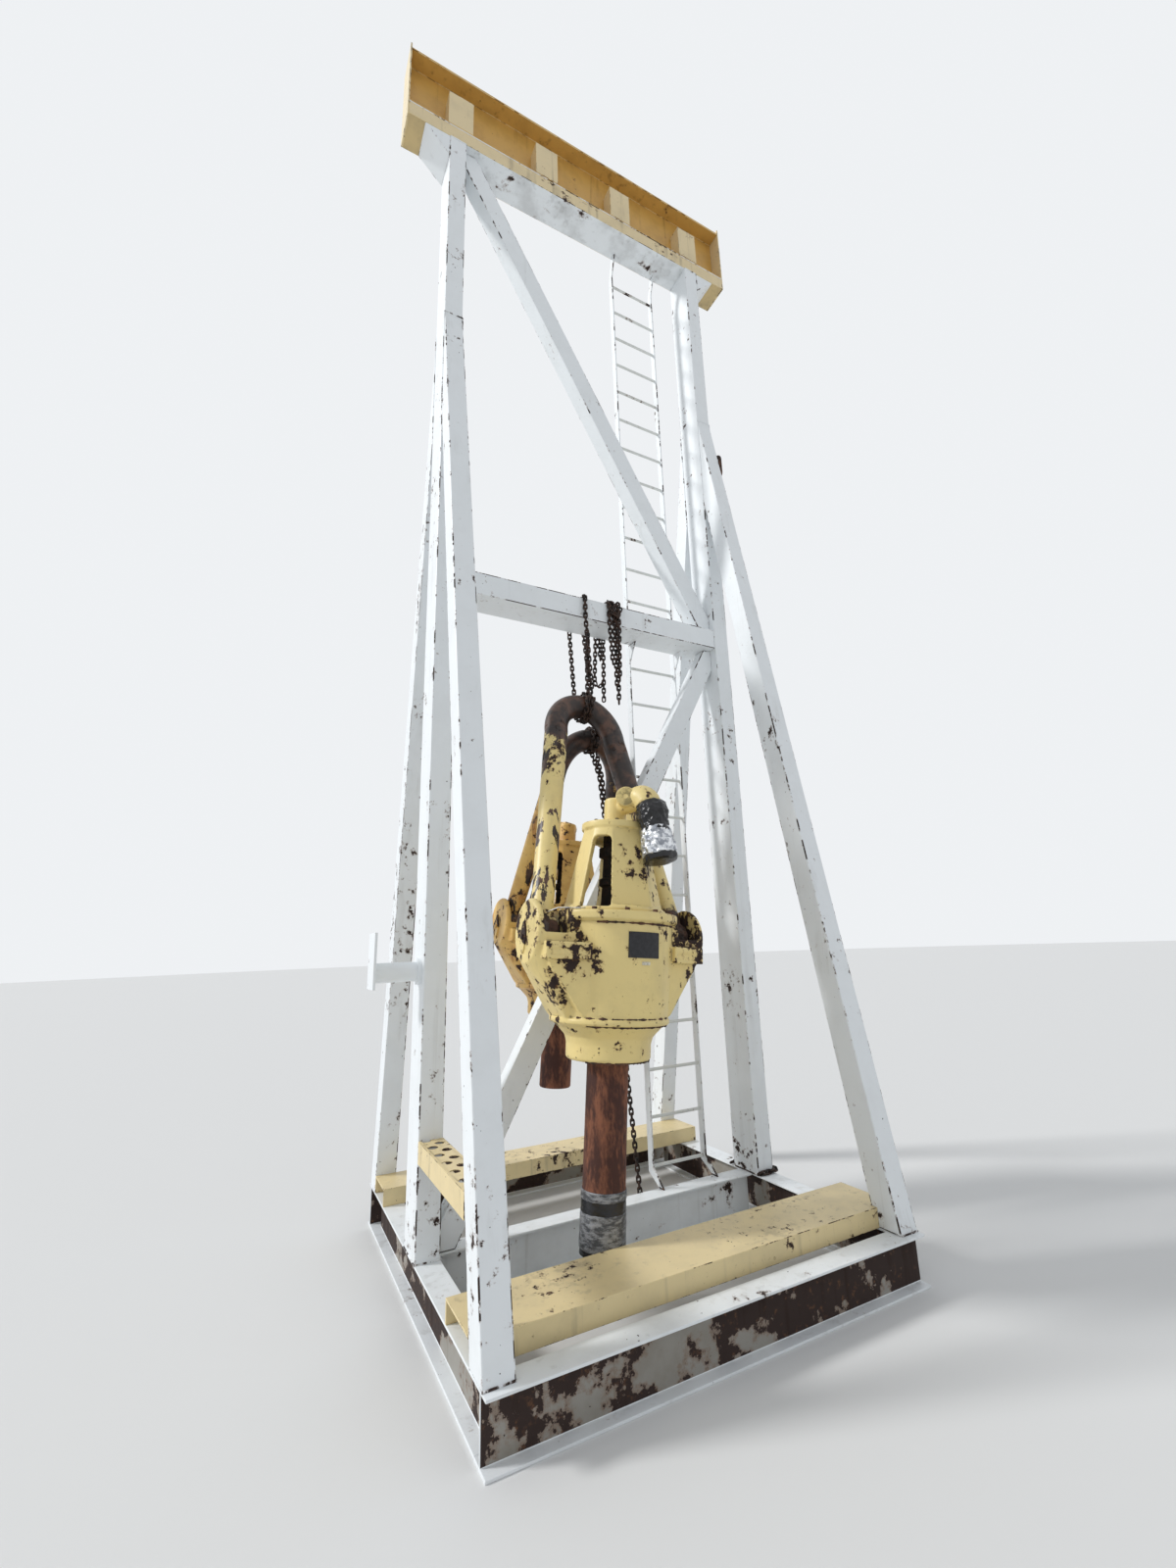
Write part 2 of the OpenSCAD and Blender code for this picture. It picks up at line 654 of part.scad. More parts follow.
// A chain laid around the foot of the right post.
module foot_chain() {
    z = base_h + chain_off;
    x = post_out + chain_off;
    y = post_k + chain_off;
    color(rust) chain_run([[post_in - chain_off, -y, z], [x, -y, z], [x, y, z], [post_in - chain_off, y, z]]);
}

base_front_beam();
base_rear_beam();
base_centre_beam();
base_left_beam();
base_right_beam();
left_post();
right_post();
left_front_leg();
right_front_leg();
left_rear_leg();
right_rear_leg();
head_tube();
head_girder();
head_stiffeners();
left_end_plate();
right_end_plate();
haunches();
middle_beam();
upper_brace();
lower_brace();
left_stringer();
right_stringer();
ladder_rungs();
ladder_bracket();
front_channel();
rear_channel();
perforated_step();
stub_arm();
leg_shackle();
front_bail();
front_body();
front_pins();
front_bonnet();
front_gooseneck();
front_outlet_wrap();
front_stem_pipe();
rear_bail();
rear_body();
rear_pins();
rear_bonnet();
rear_gooseneck();
rear_outlet_wrap();
rear_stem_pipe();
front_sling_chain();
rear_sling_chain();
spare_chain();
foot_chain();
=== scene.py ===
# %% [markdown]
# # A storage stand with two rotary swivels
# A white steel stand, over nine metres high, holds two yellow swivels that hang on chains from its
# middle beam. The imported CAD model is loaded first, because it fixes every place and every size.
# The cells after it add the looks: camera, light, paint, castings, chains and small fittings.

# %% Load the frame
import math
import bmesh
import bpy
from mathutils import Matrix, Vector, noise


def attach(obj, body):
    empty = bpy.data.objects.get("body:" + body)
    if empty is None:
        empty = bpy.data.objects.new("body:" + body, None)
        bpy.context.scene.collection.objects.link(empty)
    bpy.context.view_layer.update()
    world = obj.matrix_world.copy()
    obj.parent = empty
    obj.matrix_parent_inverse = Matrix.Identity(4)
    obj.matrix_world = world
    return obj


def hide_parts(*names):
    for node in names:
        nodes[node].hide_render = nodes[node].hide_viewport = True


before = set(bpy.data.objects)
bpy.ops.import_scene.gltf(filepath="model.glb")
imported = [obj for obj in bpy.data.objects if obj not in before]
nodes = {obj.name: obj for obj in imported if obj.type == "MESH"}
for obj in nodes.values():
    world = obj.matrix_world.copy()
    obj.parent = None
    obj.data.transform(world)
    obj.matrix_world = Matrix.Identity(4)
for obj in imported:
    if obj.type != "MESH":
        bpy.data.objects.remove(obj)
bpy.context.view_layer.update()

# %% [markdown]
# ## Camera
# The picture was taken from standing height, close to the stand's front left corner and tilted up,
# with a wide lens. That tilt makes the posts lean toward each other. The place, the turn and the lens
# below were fitted to edges whose places are known, so they are typed in as numbers.

# %% Camera
WIDE, HIGH = 1200, 1600  # the picture, in pixels
SENSOR = 36  # millimetres along the picture's longer side
CAMERA_AT = Vector((-2.10802, -3.97247, 1.83699))
YAW, PITCH, ROLL = math.radians(28.92807), math.radians(13.7107), math.radians(-2.05289)
FOCAL, MIDDLE_X, MIDDLE_Y = 652.72, 619.94, 803.23  # pixels


def camera_matrix():
    ahead = Vector((math.sin(YAW) * math.cos(PITCH), math.cos(YAW) * math.cos(PITCH), math.sin(PITCH)))
    right = Vector((math.cos(YAW), -math.sin(YAW), 0))
    up = right.cross(ahead)
    c, s = math.cos(ROLL), math.sin(ROLL)
    across, upward = c * right + s * up, c * up - s * right
    rows = [[across[i], upward[i], -ahead[i], CAMERA_AT[i]] for i in range(3)] + [[0, 0, 0, 1]]
    return Matrix(rows)


lens = bpy.data.cameras.new("camera")
lens.sensor_width = SENSOR
lens.lens = FOCAL * SENSOR / HIGH
lens.shift_x = (WIDE / 2 - MIDDLE_X) / HIGH
lens.shift_y = (MIDDLE_Y - HIGH / 2) / HIGH
lens.clip_end = 300
camera = bpy.data.objects.new("camera", lens)
camera.matrix_world = camera_matrix()
bpy.context.scene.collection.objects.link(camera)
bpy.context.scene.camera = camera
print("lens", round(lens.lens, 2), "mm")

# %% [markdown]
# ## Floor
# A pale disc stands for the ground. It reaches far enough that its rim looks like a horizon.

# %% Floor
FLOOR_RADIUS, FLOOR_SIDES = 90, 64


def round_angles(count):
    """The angles of points that are spread evenly round a circle."""
    return [math.tau * i / count for i in range(count)]


floor_paint = bpy.data.materials.new("pale_floor")
floor_paint.use_nodes = True
floor_shader = floor_paint.node_tree.nodes["Principled BSDF"]
floor_shader.inputs["Base Color"].default_value = (0.74, 0.74, 0.73, 1)
floor_shader.inputs["Roughness"].default_value = 0.9
floor_mesh = bpy.data.meshes.new("floor")
floor_mesh.from_pydata([(FLOOR_RADIUS * math.cos(a), FLOOR_RADIUS * math.sin(a), 0)
                        for a in round_angles(FLOOR_SIDES)], [], [list(range(FLOOR_SIDES))])
floor = bpy.data.objects.new("floor", floor_mesh)
floor.data.materials.append(floor_paint)
bpy.context.scene.collection.objects.link(floor)
print("floor", 2 * FLOOR_RADIUS, "m across")

# %% [markdown]
# ## Light
# Low sun comes from the left and a little from behind, so the left faces shine and the front faces lie
# in shade. A wide, soft lamp gives that. The world adds even light from all round, and only a camera
# ray or a reflection sees its pale background.

# %% Sun and world
sun = bpy.data.objects.new("sun", bpy.data.lights.new("sun", "SUN"))
sun.data.energy = 1.95
sun.data.angle = math.radians(9)
sun.matrix_world = Vector((0.78, -0.34, -0.56)).to_track_quat("-Z", "Y").to_matrix().to_4x4()
bpy.context.scene.collection.objects.link(sun)

world = bpy.data.worlds.new("world")
bpy.context.scene.world = world
world.use_nodes = True
net = world.node_tree
for node in list(net.nodes):
    net.nodes.remove(node)


def background(colour, strength):
    glow = net.nodes.new("ShaderNodeBackground")
    glow.inputs["Color"].default_value = colour
    glow.inputs["Strength"].default_value = strength
    return glow.outputs[0]


def either(a, b):
    """1 where at least one of two kinds of ray arrives."""
    larger = net.nodes.new("ShaderNodeMath")
    larger.operation = "MAXIMUM"
    net.links.new(a, larger.inputs[0])
    net.links.new(b, larger.inputs[1])
    return larger.outputs[0]


SKY_LIGHT = 0.64
ray = net.nodes.new("ShaderNodeLightPath").outputs
seen = either(either(ray["Is Camera Ray"], ray["Is Glossy Ray"]), ray["Is Transmission Ray"])
blend_sky = net.nodes.new("ShaderNodeMixShader")
net.links.new(seen, blend_sky.inputs["Fac"])
net.links.new(background((0.93, 0.96, 1, 1), SKY_LIGHT), blend_sky.inputs[1])
net.links.new(background((0.86, 0.88, 0.9, 1), 1), blend_sky.inputs[2])
net.links.new(blend_sky.outputs[0], net.nodes.new("ShaderNodeOutputWorld").inputs["Surface"])
bpy.context.scene.view_settings.view_transform = "Standard"
print("sun", sun.data.energy, "world", SKY_LIGHT)

# %% [markdown]
# ## Wiring nodes
# A material is a net of nodes. In the editor each wire is drawn by hand; in a script that takes two or
# three lines a node. These helpers make a node and wire it in one line, so that a formula reads as one.

# %% Node helpers
def rgb(red, green, blue):
    """A colour as it looks on a screen, turned into the shader's linear numbers."""
    shares = [v / 255 for v in (red, green, blue)]
    return tuple(v / 12.92 if v <= 10 / 255 else ((v + 0.055) / 1.055) ** 2.4 for v in shares) + (1,)


class Net:
    """Adds nodes to a tree and links them as they are named."""

    def __init__(self, tree):
        self.tree = tree

    def put(self, kind, out=0, setup=None, **inputs):
        """i0, i1 and so on are inputs by number; the others are inputs by name."""
        node = self.tree.nodes.new("ShaderNode" + kind)
        for key, value in (setup or {}).items():
            setattr(node, key, value)
        for key, value in inputs.items():
            numbered = key[0] == "i" and key[1:].isdigit()
            socket = node.inputs[int(key[1:]) if numbered else key.replace("_", " ")]
            if isinstance(value, bpy.types.NodeSocket):
                self.tree.links.new(value, socket)
            else:
                socket.default_value = value
        return node.outputs[out]

    def math(self, operation, a, b=0.0, clamp=False):
        return self.put("Math", setup={"operation": operation, "use_clamp": clamp}, i0=a, i1=b)

    def plus(self, a, b, clamp=False):
        return self.math("ADD", a, b, clamp)

    def minus(self, a, b):
        return self.math("SUBTRACT", a, b)

    def times(self, a, b):
        return self.math("MULTIPLY", a, b)

    def ramp(self, value, low, high):
        smooth = {"interpolation_type": "SMOOTHSTEP"}
        return self.put("MapRange", setup=smooth, Value=value, From_Min=low, From_Max=high)

    def mix(self, factor, a, b):
        return self.put("MixRGB", Fac=factor, Color1=a, Color2=b)

    def grain(self, where, scale, detail=5.0, rough=0.6):
        return self.put("TexNoise", Vector=where, Scale=scale, Detail=detail, Roughness=rough)

    def here(self):
        """A point's place in the object's own metres."""
        return self.put("TexCoord", "Object")

    def stretched(self, where, x, y, z):
        return self.put("Mapping", Vector=where, Scale=(x, y, z))


def new_group(name, inputs, outputs):
    tree = bpy.data.node_groups.new(name, "ShaderNodeTree")
    for label, kind, value in inputs:
        socket = tree.interface.new_socket(name=label, in_out="INPUT", socket_type="NodeSocket" + kind)
        socket.default_value = value
    for label, kind in outputs:
        tree.interface.new_socket(name=label, in_out="OUTPUT", socket_type="NodeSocket" + kind)
    given, result = tree.nodes.new("NodeGroupInput").outputs, tree.nodes.new("NodeGroupOutput").inputs
    return tree, given, result, Net(tree)


# %% [markdown]
# ## Worn paint
# Old paint has flaked off in small dark spots that gather in patches. Brown stain rims each spot, dirt
# runs down in streaks, and rust climbs from the ground. One node group makes all of that from noise
# in the object's own metres, so every painted piece can use it with its own colours and amounts.

# %% Worn paint
def build_worn_paint():
    tree, given, result, n = new_group("worn_paint", [
        ("Paint", "Color", (1, 1, 1, 1)), ("Bare", "Color", rgb(44, 28, 22)),
        ("Stain", "Color", rgb(120, 82, 52)), ("Dirt", "Color", rgb(120, 112, 98)),
        ("Chips", "Float", 0.3), ("Chip Scale", "Float", 14.0), ("Streaks", "Float", 0.3),
        ("Ground Rust", "Float", 0.0), ("Tone", "Float", 0.08), ("Patchiness", "Float", 0.55),
        ("Wear", "Float", 0.0), ("Shade And Grime", "Float", 0.0), ("Specks", "Float", 0.5)],
        [("Colour", "Color"), ("Roughness", "Float"), ("Height", "Float")])
    where = n.here()
    patchy = n.minus(n.grain(where, 1.9, 4.0), 0.5)
    near_ground = n.times(n.ramp(n.put("SeparateXYZ", "Z", Vector=where), 0.9, 0.0), given["Ground Rust"])
    # A chip is where spots, patches, ground rust and wear pile up past a limit that Chips lowers.
    spots = n.plus(n.grain(where, given["Chip Scale"], 9.0, 0.68), n.times(patchy, given["Patchiness"]))
    pile = n.plus(spots, n.plus(n.times(near_ground, 0.12), given["Wear"]))
    depth = n.minus(pile, n.minus(0.74, n.times(given["Chips"], 0.3)))
    speck = n.ramp(n.grain(where, 42.0, 3.0, 0.5), n.minus(0.775, n.times(given["Specks"], 0.075)), 0.79)
    chip = n.math("MAXIMUM", n.ramp(depth, 0.0, 0.014), n.ramp(speck, 0.0, 0.6))
    # Streaks are noise stretched downward. Tone is broad, faint dirt.
    runs = n.grain(n.stretched(where, 17, 17, 0.8), 1.0, 5.0, 0.55)
    streak = n.times(n.ramp(n.plus(runs, n.times(patchy, 0.5)), 0.56, 0.74), given["Streaks"])
    tone = n.times(n.ramp(n.grain(where, 5.0, 6.0), 0.42, 0.68), given["Tone"])
    dusty = n.mix(n.plus(streak, tone, clamp=True), given["Paint"], given["Dirt"])
    stain = n.times(n.ramp(depth, -0.05, 0.01), 0.55)
    # This input mixes toward the bare colour: painted shade in concave corners, with some dirt.
    stained = n.mix(given["Shade And Grime"], n.mix(stain, dusty, given["Stain"]), given["Bare"])
    bare = n.mix(n.ramp(n.grain(where, 31.0, 5.0), 0.56, 0.82), given["Bare"], given["Stain"])
    rough = n.plus(0.42, n.plus(n.times(chip, 0.4), n.times(streak, 0.25)))
    height = n.minus(n.times(n.grain(where, 60.0, 4.0), 0.35), n.times(chip, 0.8))
    for label, value in (("Colour", n.mix(chip, stained, bare)), ("Roughness", rough), ("Height", height)):
        tree.links.new(value, result[label])
    return tree


worn_paint = build_worn_paint()
print("group", worn_paint.name, "with", len(worn_paint.nodes), "nodes")

# %% [markdown]
# A painted material holds that group with its own colour and wear. Chips gather where things knock the
# real piece: on proud edges of a casting, which Pointiness finds, and at a few named places.

# %% A painted material
RELIEF = 0.004  # how deep a material's bumps are taken to be, in metres


def painted(name, paint, bump=0.4, cast=False, places=(), **amounts):
    """cast adds chips on proud edges and darkens concave corners, painted shade with some dirt; places are (point,
    radius, wear).
    """
    material = bpy.data.materials.new(name)
    material.use_nodes = True
    tree = material.node_tree
    shader = tree.nodes["Principled BSDF"]
    wear = tree.nodes.new("ShaderNodeGroup")
    wear.node_tree = worn_paint
    wear.inputs["Paint"].default_value = paint
    for key, value in amounts.items():
        wear.inputs[key.replace("_", " ")].default_value = value
    n = Net(tree)
    relief = n.put("Bump", Strength=bump, Distance=RELIEF, Height=wear.outputs["Height"])
    tree.links.new(wear.outputs["Colour"], shader.inputs["Base Color"])
    tree.links.new(wear.outputs["Roughness"], shader.inputs["Roughness"])
    tree.links.new(relief, shader.inputs["Normal"])
    extra = 0.0
    if cast:
        proud = n.put("NewGeometry", "Pointiness")
        extra = n.times(n.ramp(proud, 0.515, 0.60), 0.11)
        # Low pointiness marks concave corners, which are darkened here: painted shade, with some dirt.
        tree.links.new(n.times(n.ramp(proud, 0.482, 0.435), 0.85), wear.inputs["Shade And Grime"])
    for point, radius, amount in places:
        away = n.put("VectorMath", "Value", setup={"operation": "DISTANCE"}, i0=n.here(), i1=point)
        extra = n.plus(extra, n.times(n.ramp(away, radius, radius * 0.45), amount))
    if cast or places:
        tree.links.new(extra, wear.inputs["Wear"])
    return material


# %% [markdown]
# The edge version of a paint has far more chips, because a corner is knocked first. It goes on the
# narrow faces that a bevel makes. The swivels' paint is worn hardest on the ears and below the band.

# %% Paints
WHITE, CREAM = rgb(236, 240, 242), rgb(228, 208, 158)
# The girder's ochre is the head's yellow paint made warmer: a painted glow of light bounced between the beams.
BOUNCE_LIT_OCHRE, YELLOW = rgb(206, 162, 84), rgb(232, 210, 142)
DUST = rgb(150, 146, 136)
EARS = [((-0.56, -0.84, 1.76), 0.17, 0.13), ((0.16, -0.72, 1.86), 0.30, 0.12), ((-0.08, -0.94, 1.97), 0.16, 0.10),
        ((-0.60, -0.74, 1.98), 0.14, 0.16), ((-0.70, -0.70, 1.62), 0.16, 0.04), ((-0.16, -0.86, 2.26), 0.20, 0.08)]
white = painted("white_steel", WHITE, Chips=0.20, Chip_Scale=15.0, Streaks=0.12, Ground_Rust=0.35, Tone=0.05,
                Dirt=DUST)
white_edge = painted("white_steel_edge", WHITE, Chips=0.60, Chip_Scale=11.0, Streaks=0.2, Ground_Rust=0.8)
beam_edge = painted("middle_beam_edge", WHITE, Chips=0.86, Chip_Scale=7.0, Streaks=0.2)
base_white = painted("white_base", WHITE, Chips=0.20, Chip_Scale=9.0, Streaks=0.2, Ground_Rust=0.0, Tone=0.12,
                     Dirt=DUST)
# Grey and heavily chipped: rust and lost paint, with painted shade for the deep shade on the webs.
base_web_rust_and_shade = painted("base_web_rust_and_shade", rgb(150, 146, 138), Chips=0.92, Chip_Scale=4.0, Streaks=0.6, Tone=0.4)
rung_white = painted("white_rungs", rgb(222, 224, 220), Chips=0.36, Chip_Scale=5.0, Streaks=0.1)
cream = painted("cream_steel", CREAM, Chips=0.24, Chip_Scale=17.0, Streaks=0.3, Ground_Rust=0.2, Tone=0.14)
cream_edge = painted("cream_steel_edge", CREAM, Chips=0.66, Chip_Scale=12.0, Streaks=0.3)
head_cream = painted("head_cream", rgb(226, 206, 162), Chips=0.17, Chip_Scale=12.0, Streaks=0.4, Tone=0.12)
# Warmer than the head's cream: painted bounce light on the same yellow paint.
bounce_lit_ochre = painted("girder_bounce_lit_ochre", BOUNCE_LIT_OCHRE, Chips=0.14, Chip_Scale=9.0, Streaks=0.5, Dirt=rgb(120, 84, 30), Tone=0.2)
yellow = painted("swivel_yellow", YELLOW, bump=0.9, cast=True, places=EARS, Chips=0.40, Chip_Scale=15.0,
                 Streaks=0.12, Stain=rgb(150, 104, 58), Tone=0.12, Specks=1.0)
orange = painted("swivel_orange", rgb(228, 188, 108), bump=0.9, cast=True, Chips=0.52, Chip_Scale=13.0,
                 Streaks=0.55, Dirt=rgb(168, 104, 48), Stain=rgb(150, 92, 44), Tone=0.45, Specks=0.8)


def two_tone(name, inner, outer, half):
    """One paint nearer than half to the stand's middle, and another beyond it."""
    material = painted(name, inner, Chips=0.3, Chip_Scale=6.0, Streaks=0.2, Tone=0.25, Dirt=rgb(96, 88, 78))
    n = Net(material.node_tree)
    beyond = n.math("GREATER_THAN", n.math("ABSOLUTE", n.put("SeparateXYZ", "X", Vector=n.here())), half)
    wear = next(node for node in material.node_tree.nodes if node.type == "GROUP")
    material.node_tree.links.new(n.mix(beyond, inner, outer), wear.inputs["Paint"])
    return material


head_under = two_tone("head_underside", WHITE, rgb(204, 180, 128), 1.3)
print("paints", len(bpy.data.materials))

# %% [markdown]
# ## Bare rust, chain steel, plastic, foil and tape
# Rust isn't one colour: dark scale, red-brown powder and pale worn spots lie side by side. The chains
# are nearly black. The wrapped outlets need a glossy black plastic, a bright foil whose light and dark
# clouds are painted reflections, and a grey tape.

# %% Rust and wraps
def mottled(name, dark, light, scale=12.0, rough=0.8, metallic=0.0, bump=0.5, stretch=(1, 1, 1),
            spread=(0.4, 0.62)):
    """Two colours in clouds of noise; a narrow spread gives them sharper borders."""
    material = bpy.data.materials.new(name)
    material.use_nodes = True
    n = Net(material.node_tree)
    shader = material.node_tree.nodes["Principled BSDF"]
    where = n.stretched(n.here(), *stretch)
    cloud = n.grain(where, scale, 9.0, 0.65)
    fine = n.grain(where, scale * 7, 4.0)
    share = n.ramp(n.plus(cloud, n.times(n.minus(fine, 0.5), 0.35)), *spread)
    relief = n.put("Bump", Strength=bump, Distance=RELIEF, Height=n.plus(cloud, n.times(fine, 0.4)))
    n.tree.links.new(n.mix(share, dark, light), shader.inputs["Base Color"])
    n.tree.links.new(relief, shader.inputs["Normal"])
    shader.inputs["Roughness"].default_value = rough
    shader.inputs["Metallic"].default_value = metallic
    return material


dark_rust = mottled("dark_rust", rgb(40, 28, 24), rgb(92, 62, 46), 11.0)
red_rust = mottled("red_rust", rgb(66, 36, 28), rgb(134, 84, 60), 9.0, stretch=(1, 1, 0.35))
chain_steel = mottled("chain_steel", rgb(24, 20, 18), rgb(70, 48, 36), 30.0, rough=0.55, metallic=0.35)
black_plastic = mottled("black_plastic", rgb(12, 12, 14), rgb(30, 30, 34), 14.0, rough=0.17, bump=0.9)
# The foil's light and dark clouds are painted highlights and reflections.
foil = mottled("foil", rgb(150, 154, 162), rgb(236, 238, 241), 24.0, rough=0.28, metallic=0.8, bump=0.9,
               spread=(0.42, 0.56))
grey_tape = mottled("grey_tape", rgb(74, 76, 80), rgb(150, 152, 156), 20.0, rough=0.4, metallic=0.3, bump=0.7,
                    stretch=(1, 1, 3))
plate_black = mottled("plate_black", rgb(20, 20, 24), rgb(34, 34, 38), 40.0, rough=0.5)
tag_white = mottled("tag_white", rgb(226, 222, 206), rgb(186, 180, 160), 90.0, rough=0.9)
plug_grey = mottled("plug_face", rgb(150, 136, 92), rgb(208, 188, 126), 22.0)
# Nearly black: painted shade for the inside of the bonnet, seen through its windows.
inside_painted_shade = mottled("inside_painted_shade", rgb(16, 13, 12), rgb(44, 32, 26), 16.0, rough=0.9)
print("materials", len(bpy.data.materials))

# %% [markdown]
# The bails have lost their paint toward the top, where hooks and slings rub, and round their eyes. The
# material copies the swivel's paint and lays rust over it. The border is ragged, because noise is added
# to the height before the height is compared.

# %% Bail paint
def rusting_paint(name, paint_material, low, high, right, drop):
    """Paint gone to dark rust above a height, lower down beyond x = right, and in long patches below."""
    material = paint_material.copy()
    material.name = name
    n = Net(material.node_tree)
    shader = material.node_tree.nodes["Principled BSDF"]
    colour = shader.inputs["Base Color"].links[0].from_socket
    where = n.here()
    up = n.put("SeparateXYZ", "Z", Vector=where)
    ragged = n.times(n.minus(n.grain(where, 7.0, 8.0, 0.7), 0.5), 1.5)
    beyond = n.times(n.ramp(n.put("SeparateXYZ", "X", Vector=where), right - 0.05, right + 0.05), drop)
    top = n.ramp(n.plus(n.plus(up, ragged), beyond), low, high)
    eye = n.ramp(n.plus(up, n.times(ragged, 0.3)), 2.04, 1.98)
    patch = n.ramp(n.grain(n.stretched(where, 9.5, 9.5, 2.6), 1.0, 8.0, 0.62), 0.572, 0.588)
    bare = n.math("MAXIMUM", n.math("MAXIMUM", top, eye), patch)
    rust = n.mix(n.ramp(n.grain(where, 9.0, 8.0), 0.42, 0.66), rgb(38, 27, 23), rgb(92, 64, 50))
    n.tree.links.new(n.mix(bare, colour, rust), shader.inputs["Base Color"])
    return material


front_bail_paint = rusting_paint("front_bail_paint", yellow, 3.10, 3.16, -0.16, 0.5)
rear_bail_paint = rusting_paint("rear_bail_paint", orange, 2.85, 3.0, 5.0, 0.0)
print("bail paints", front_bail_paint.name, rear_bail_paint.name)

# %% [markdown]
# ## The welded frame
# The beams, posts and braces keep their CAD meshes. Real plate edges are a little round, so each gets
# a small bevel, and the bevel's faces take the edge paint, which puts wear exactly where it belongs.

# %% Frame paint and bevels
def dress(node, paint, edge=None, width=0.004):
    """Gives a CAD node its paint and, with an edge paint, a bevel that wears it."""
    mesh = nodes[node].data
    mesh.materials.clear()
    mesh.materials.append(paint)
    for polygon in mesh.polygons:
        polygon.material_index = 0
    if edge:
        mesh.materials.append(edge)
        weld = nodes[node].modifiers.new("weld", "WELD")
        weld.merge_threshold = 0.0002
        bevel = nodes[node].modifiers.new("bevel", "BEVEL")
        bevel.width, bevel.segments, bevel.limit_method = width, 2, "ANGLE"
        bevel.angle_limit = math.radians(35)
        bevel.material = 1
        bevel.harden_normals = False


def third_paint(node, paint, wanted):
    """Puts one more paint on those faces of a node that a test picks."""
    mesh = nodes[node].data
    mesh.materials.append(paint)
    for polygon in mesh.polygons:
        if wanted(polygon):
            polygon.material_index = 2


for node in ("left_post", "right_post", "left_front_leg", "right_front_leg", "left_rear_leg", "right_rear_leg",
             "middle_beam", "upper_brace", "lower_brace", "haunches", "left_stringer", "right_stringer",
             "ladder_bracket"):
    dress(node, white, white_edge, 0.007)
nodes["middle_beam"].data.materials[1] = beam_edge
for node in ("base_front_beam", "base_rear_beam", "base_centre_beam", "base_left_beam", "base_right_beam"):
    dress(node, base_white, base_white, 0.003)
for node in ("front_channel", "rear_channel", "perforated_step"):
    dress(node, cream, cream_edge, 0.003)
for node in ("head_tube", "head_stiffeners", "left_end_plate", "right_end_plate"):
    dress(node, head_cream, cream_edge, 0.003)
dress("head_girder", bounce_lit_ochre, cream_edge, 0.003)
dress("ladder_rungs", rung_white)
dress("stub_arm", white)
for node in ("leg_shackle", "front_pins", "rear_pins"):
    dress(node, dark_rust)
print("dressed", sum(1 for n in nodes.values() if n.modifiers), "nodes with a bevel")

# %% [markdown]
# A few faces differ from the rest of their piece. The webs of the base's outer beams are grey with
# heavy chips: lost paint and rust, with painted shade for the deep shade they lie in. The step keeps its
# cream only on top and on its two outer sides; its other faces are dark rust, partly real and partly
# painted shade, so its holes look dark. The head tube's underside is white between the posts.

# %% Faces with a paint of their own
STEP_MIDDLE, STEP_HALF, STEP_TOP = 1.159, 0.066, 0.83


def is_web(polygon):
    return abs(polygon.normal.z) < 0.5 and polygon.area > 0.02 and 0.02 < polygon.center.z < 0.23


def is_rust_and_shade_step(polygon):
    outer = abs(polygon.normal.x) > 0.9 and abs(abs(polygon.center.x) - STEP_MIDDLE) > STEP_HALF
    return not (outer or (polygon.normal.z > 0.9 and polygon.center.z > STEP_TOP))


# The outer base beams' webs take rust with painted shade.
for node in ("base_front_beam", "base_rear_beam", "base_left_beam", "base_right_beam"):
    third_paint(node, base_web_rust_and_shade, is_web)
# The step's inner and lower faces take dark rust, partly real rust and partly painted shade that keeps its holes
# dark.
third_paint("perforated_step", dark_rust, is_rust_and_shade_step)
third_paint("head_tube", head_under, lambda polygon: polygon.normal.z < -0.9)
# This counts the step faces in dark rust and painted shade.
print("step faces in rust", sum(p.material_index == 2 for p in nodes["perforated_step"].data.polygons))

# %% [markdown]
# ## Shapes from rings, sweeps and hulls
# Most round pieces are a profile turned about an axis, or a ring swept along a line. These helpers
# return plain lists of points and faces, so pieces can be moved and joined before they become objects.

# %% Turned and swept shapes
def turned(profile, count=64):
    """A profile of (radius, height) turned about Z. A radius of 0 closes the end."""
    points, faces, rings = [], [], []
    for radius, height in profile:
        if radius == 0:
            rings.append([len(points)])
            points.append(Vector((0, 0, height)))
        else:
            rings.append(range(len(points), len(points) + count))
            points += [Vector((radius * math.cos(a), radius * math.sin(a), height)) for a in round_angles(count)]
    for low, high in zip(rings, rings[1:]):
        for i in range(count):
            j = (i + 1) % count
            if len(low) == 1:
                faces.append([low[0], high[j], high[i]])
            elif len(high) == 1:
                faces.append([low[i], low[j], high[0]])
            else:
                faces.append([low[i], low[j], high[j], high[i]])
    return points, faces


def swept(line, radii, count=16, closed=False):
    """A round bar along a line of points; radii is one number or one for each point."""
    line = [Vector(p) for p in line]
    radii = radii if isinstance(radii, (list, tuple)) else [radii] * len(line)
    points, faces, side = [], [], None
    for i, p in enumerate(line):
        before = line[i - 1] if i or closed else p
        after = line[(i + 1) % len(line)] if i + 1 < len(line) or closed else p
        along = (after - before).normalized()
        side = side or along.orthogonal()
        side = (side - along * side.dot(along)).normalized()
        other = along.cross(side)
        points += [p + radii[i] * (math.cos(a) * side + math.sin(a) * other) for a in round_angles(count)]
    spans = len(line) if closed else len(line) - 1
    for i in range(spans):
        low, high = i * count, (i + 1) % len(line) * count
        faces += [[low + k, low + (k + 1) % count, high + (k + 1) % count, high + k] for k in range(count)]
    if not closed:
        faces += [list(range(count))[::-1], [len(points) - count + k for k in range(count)]]
    return points, faces


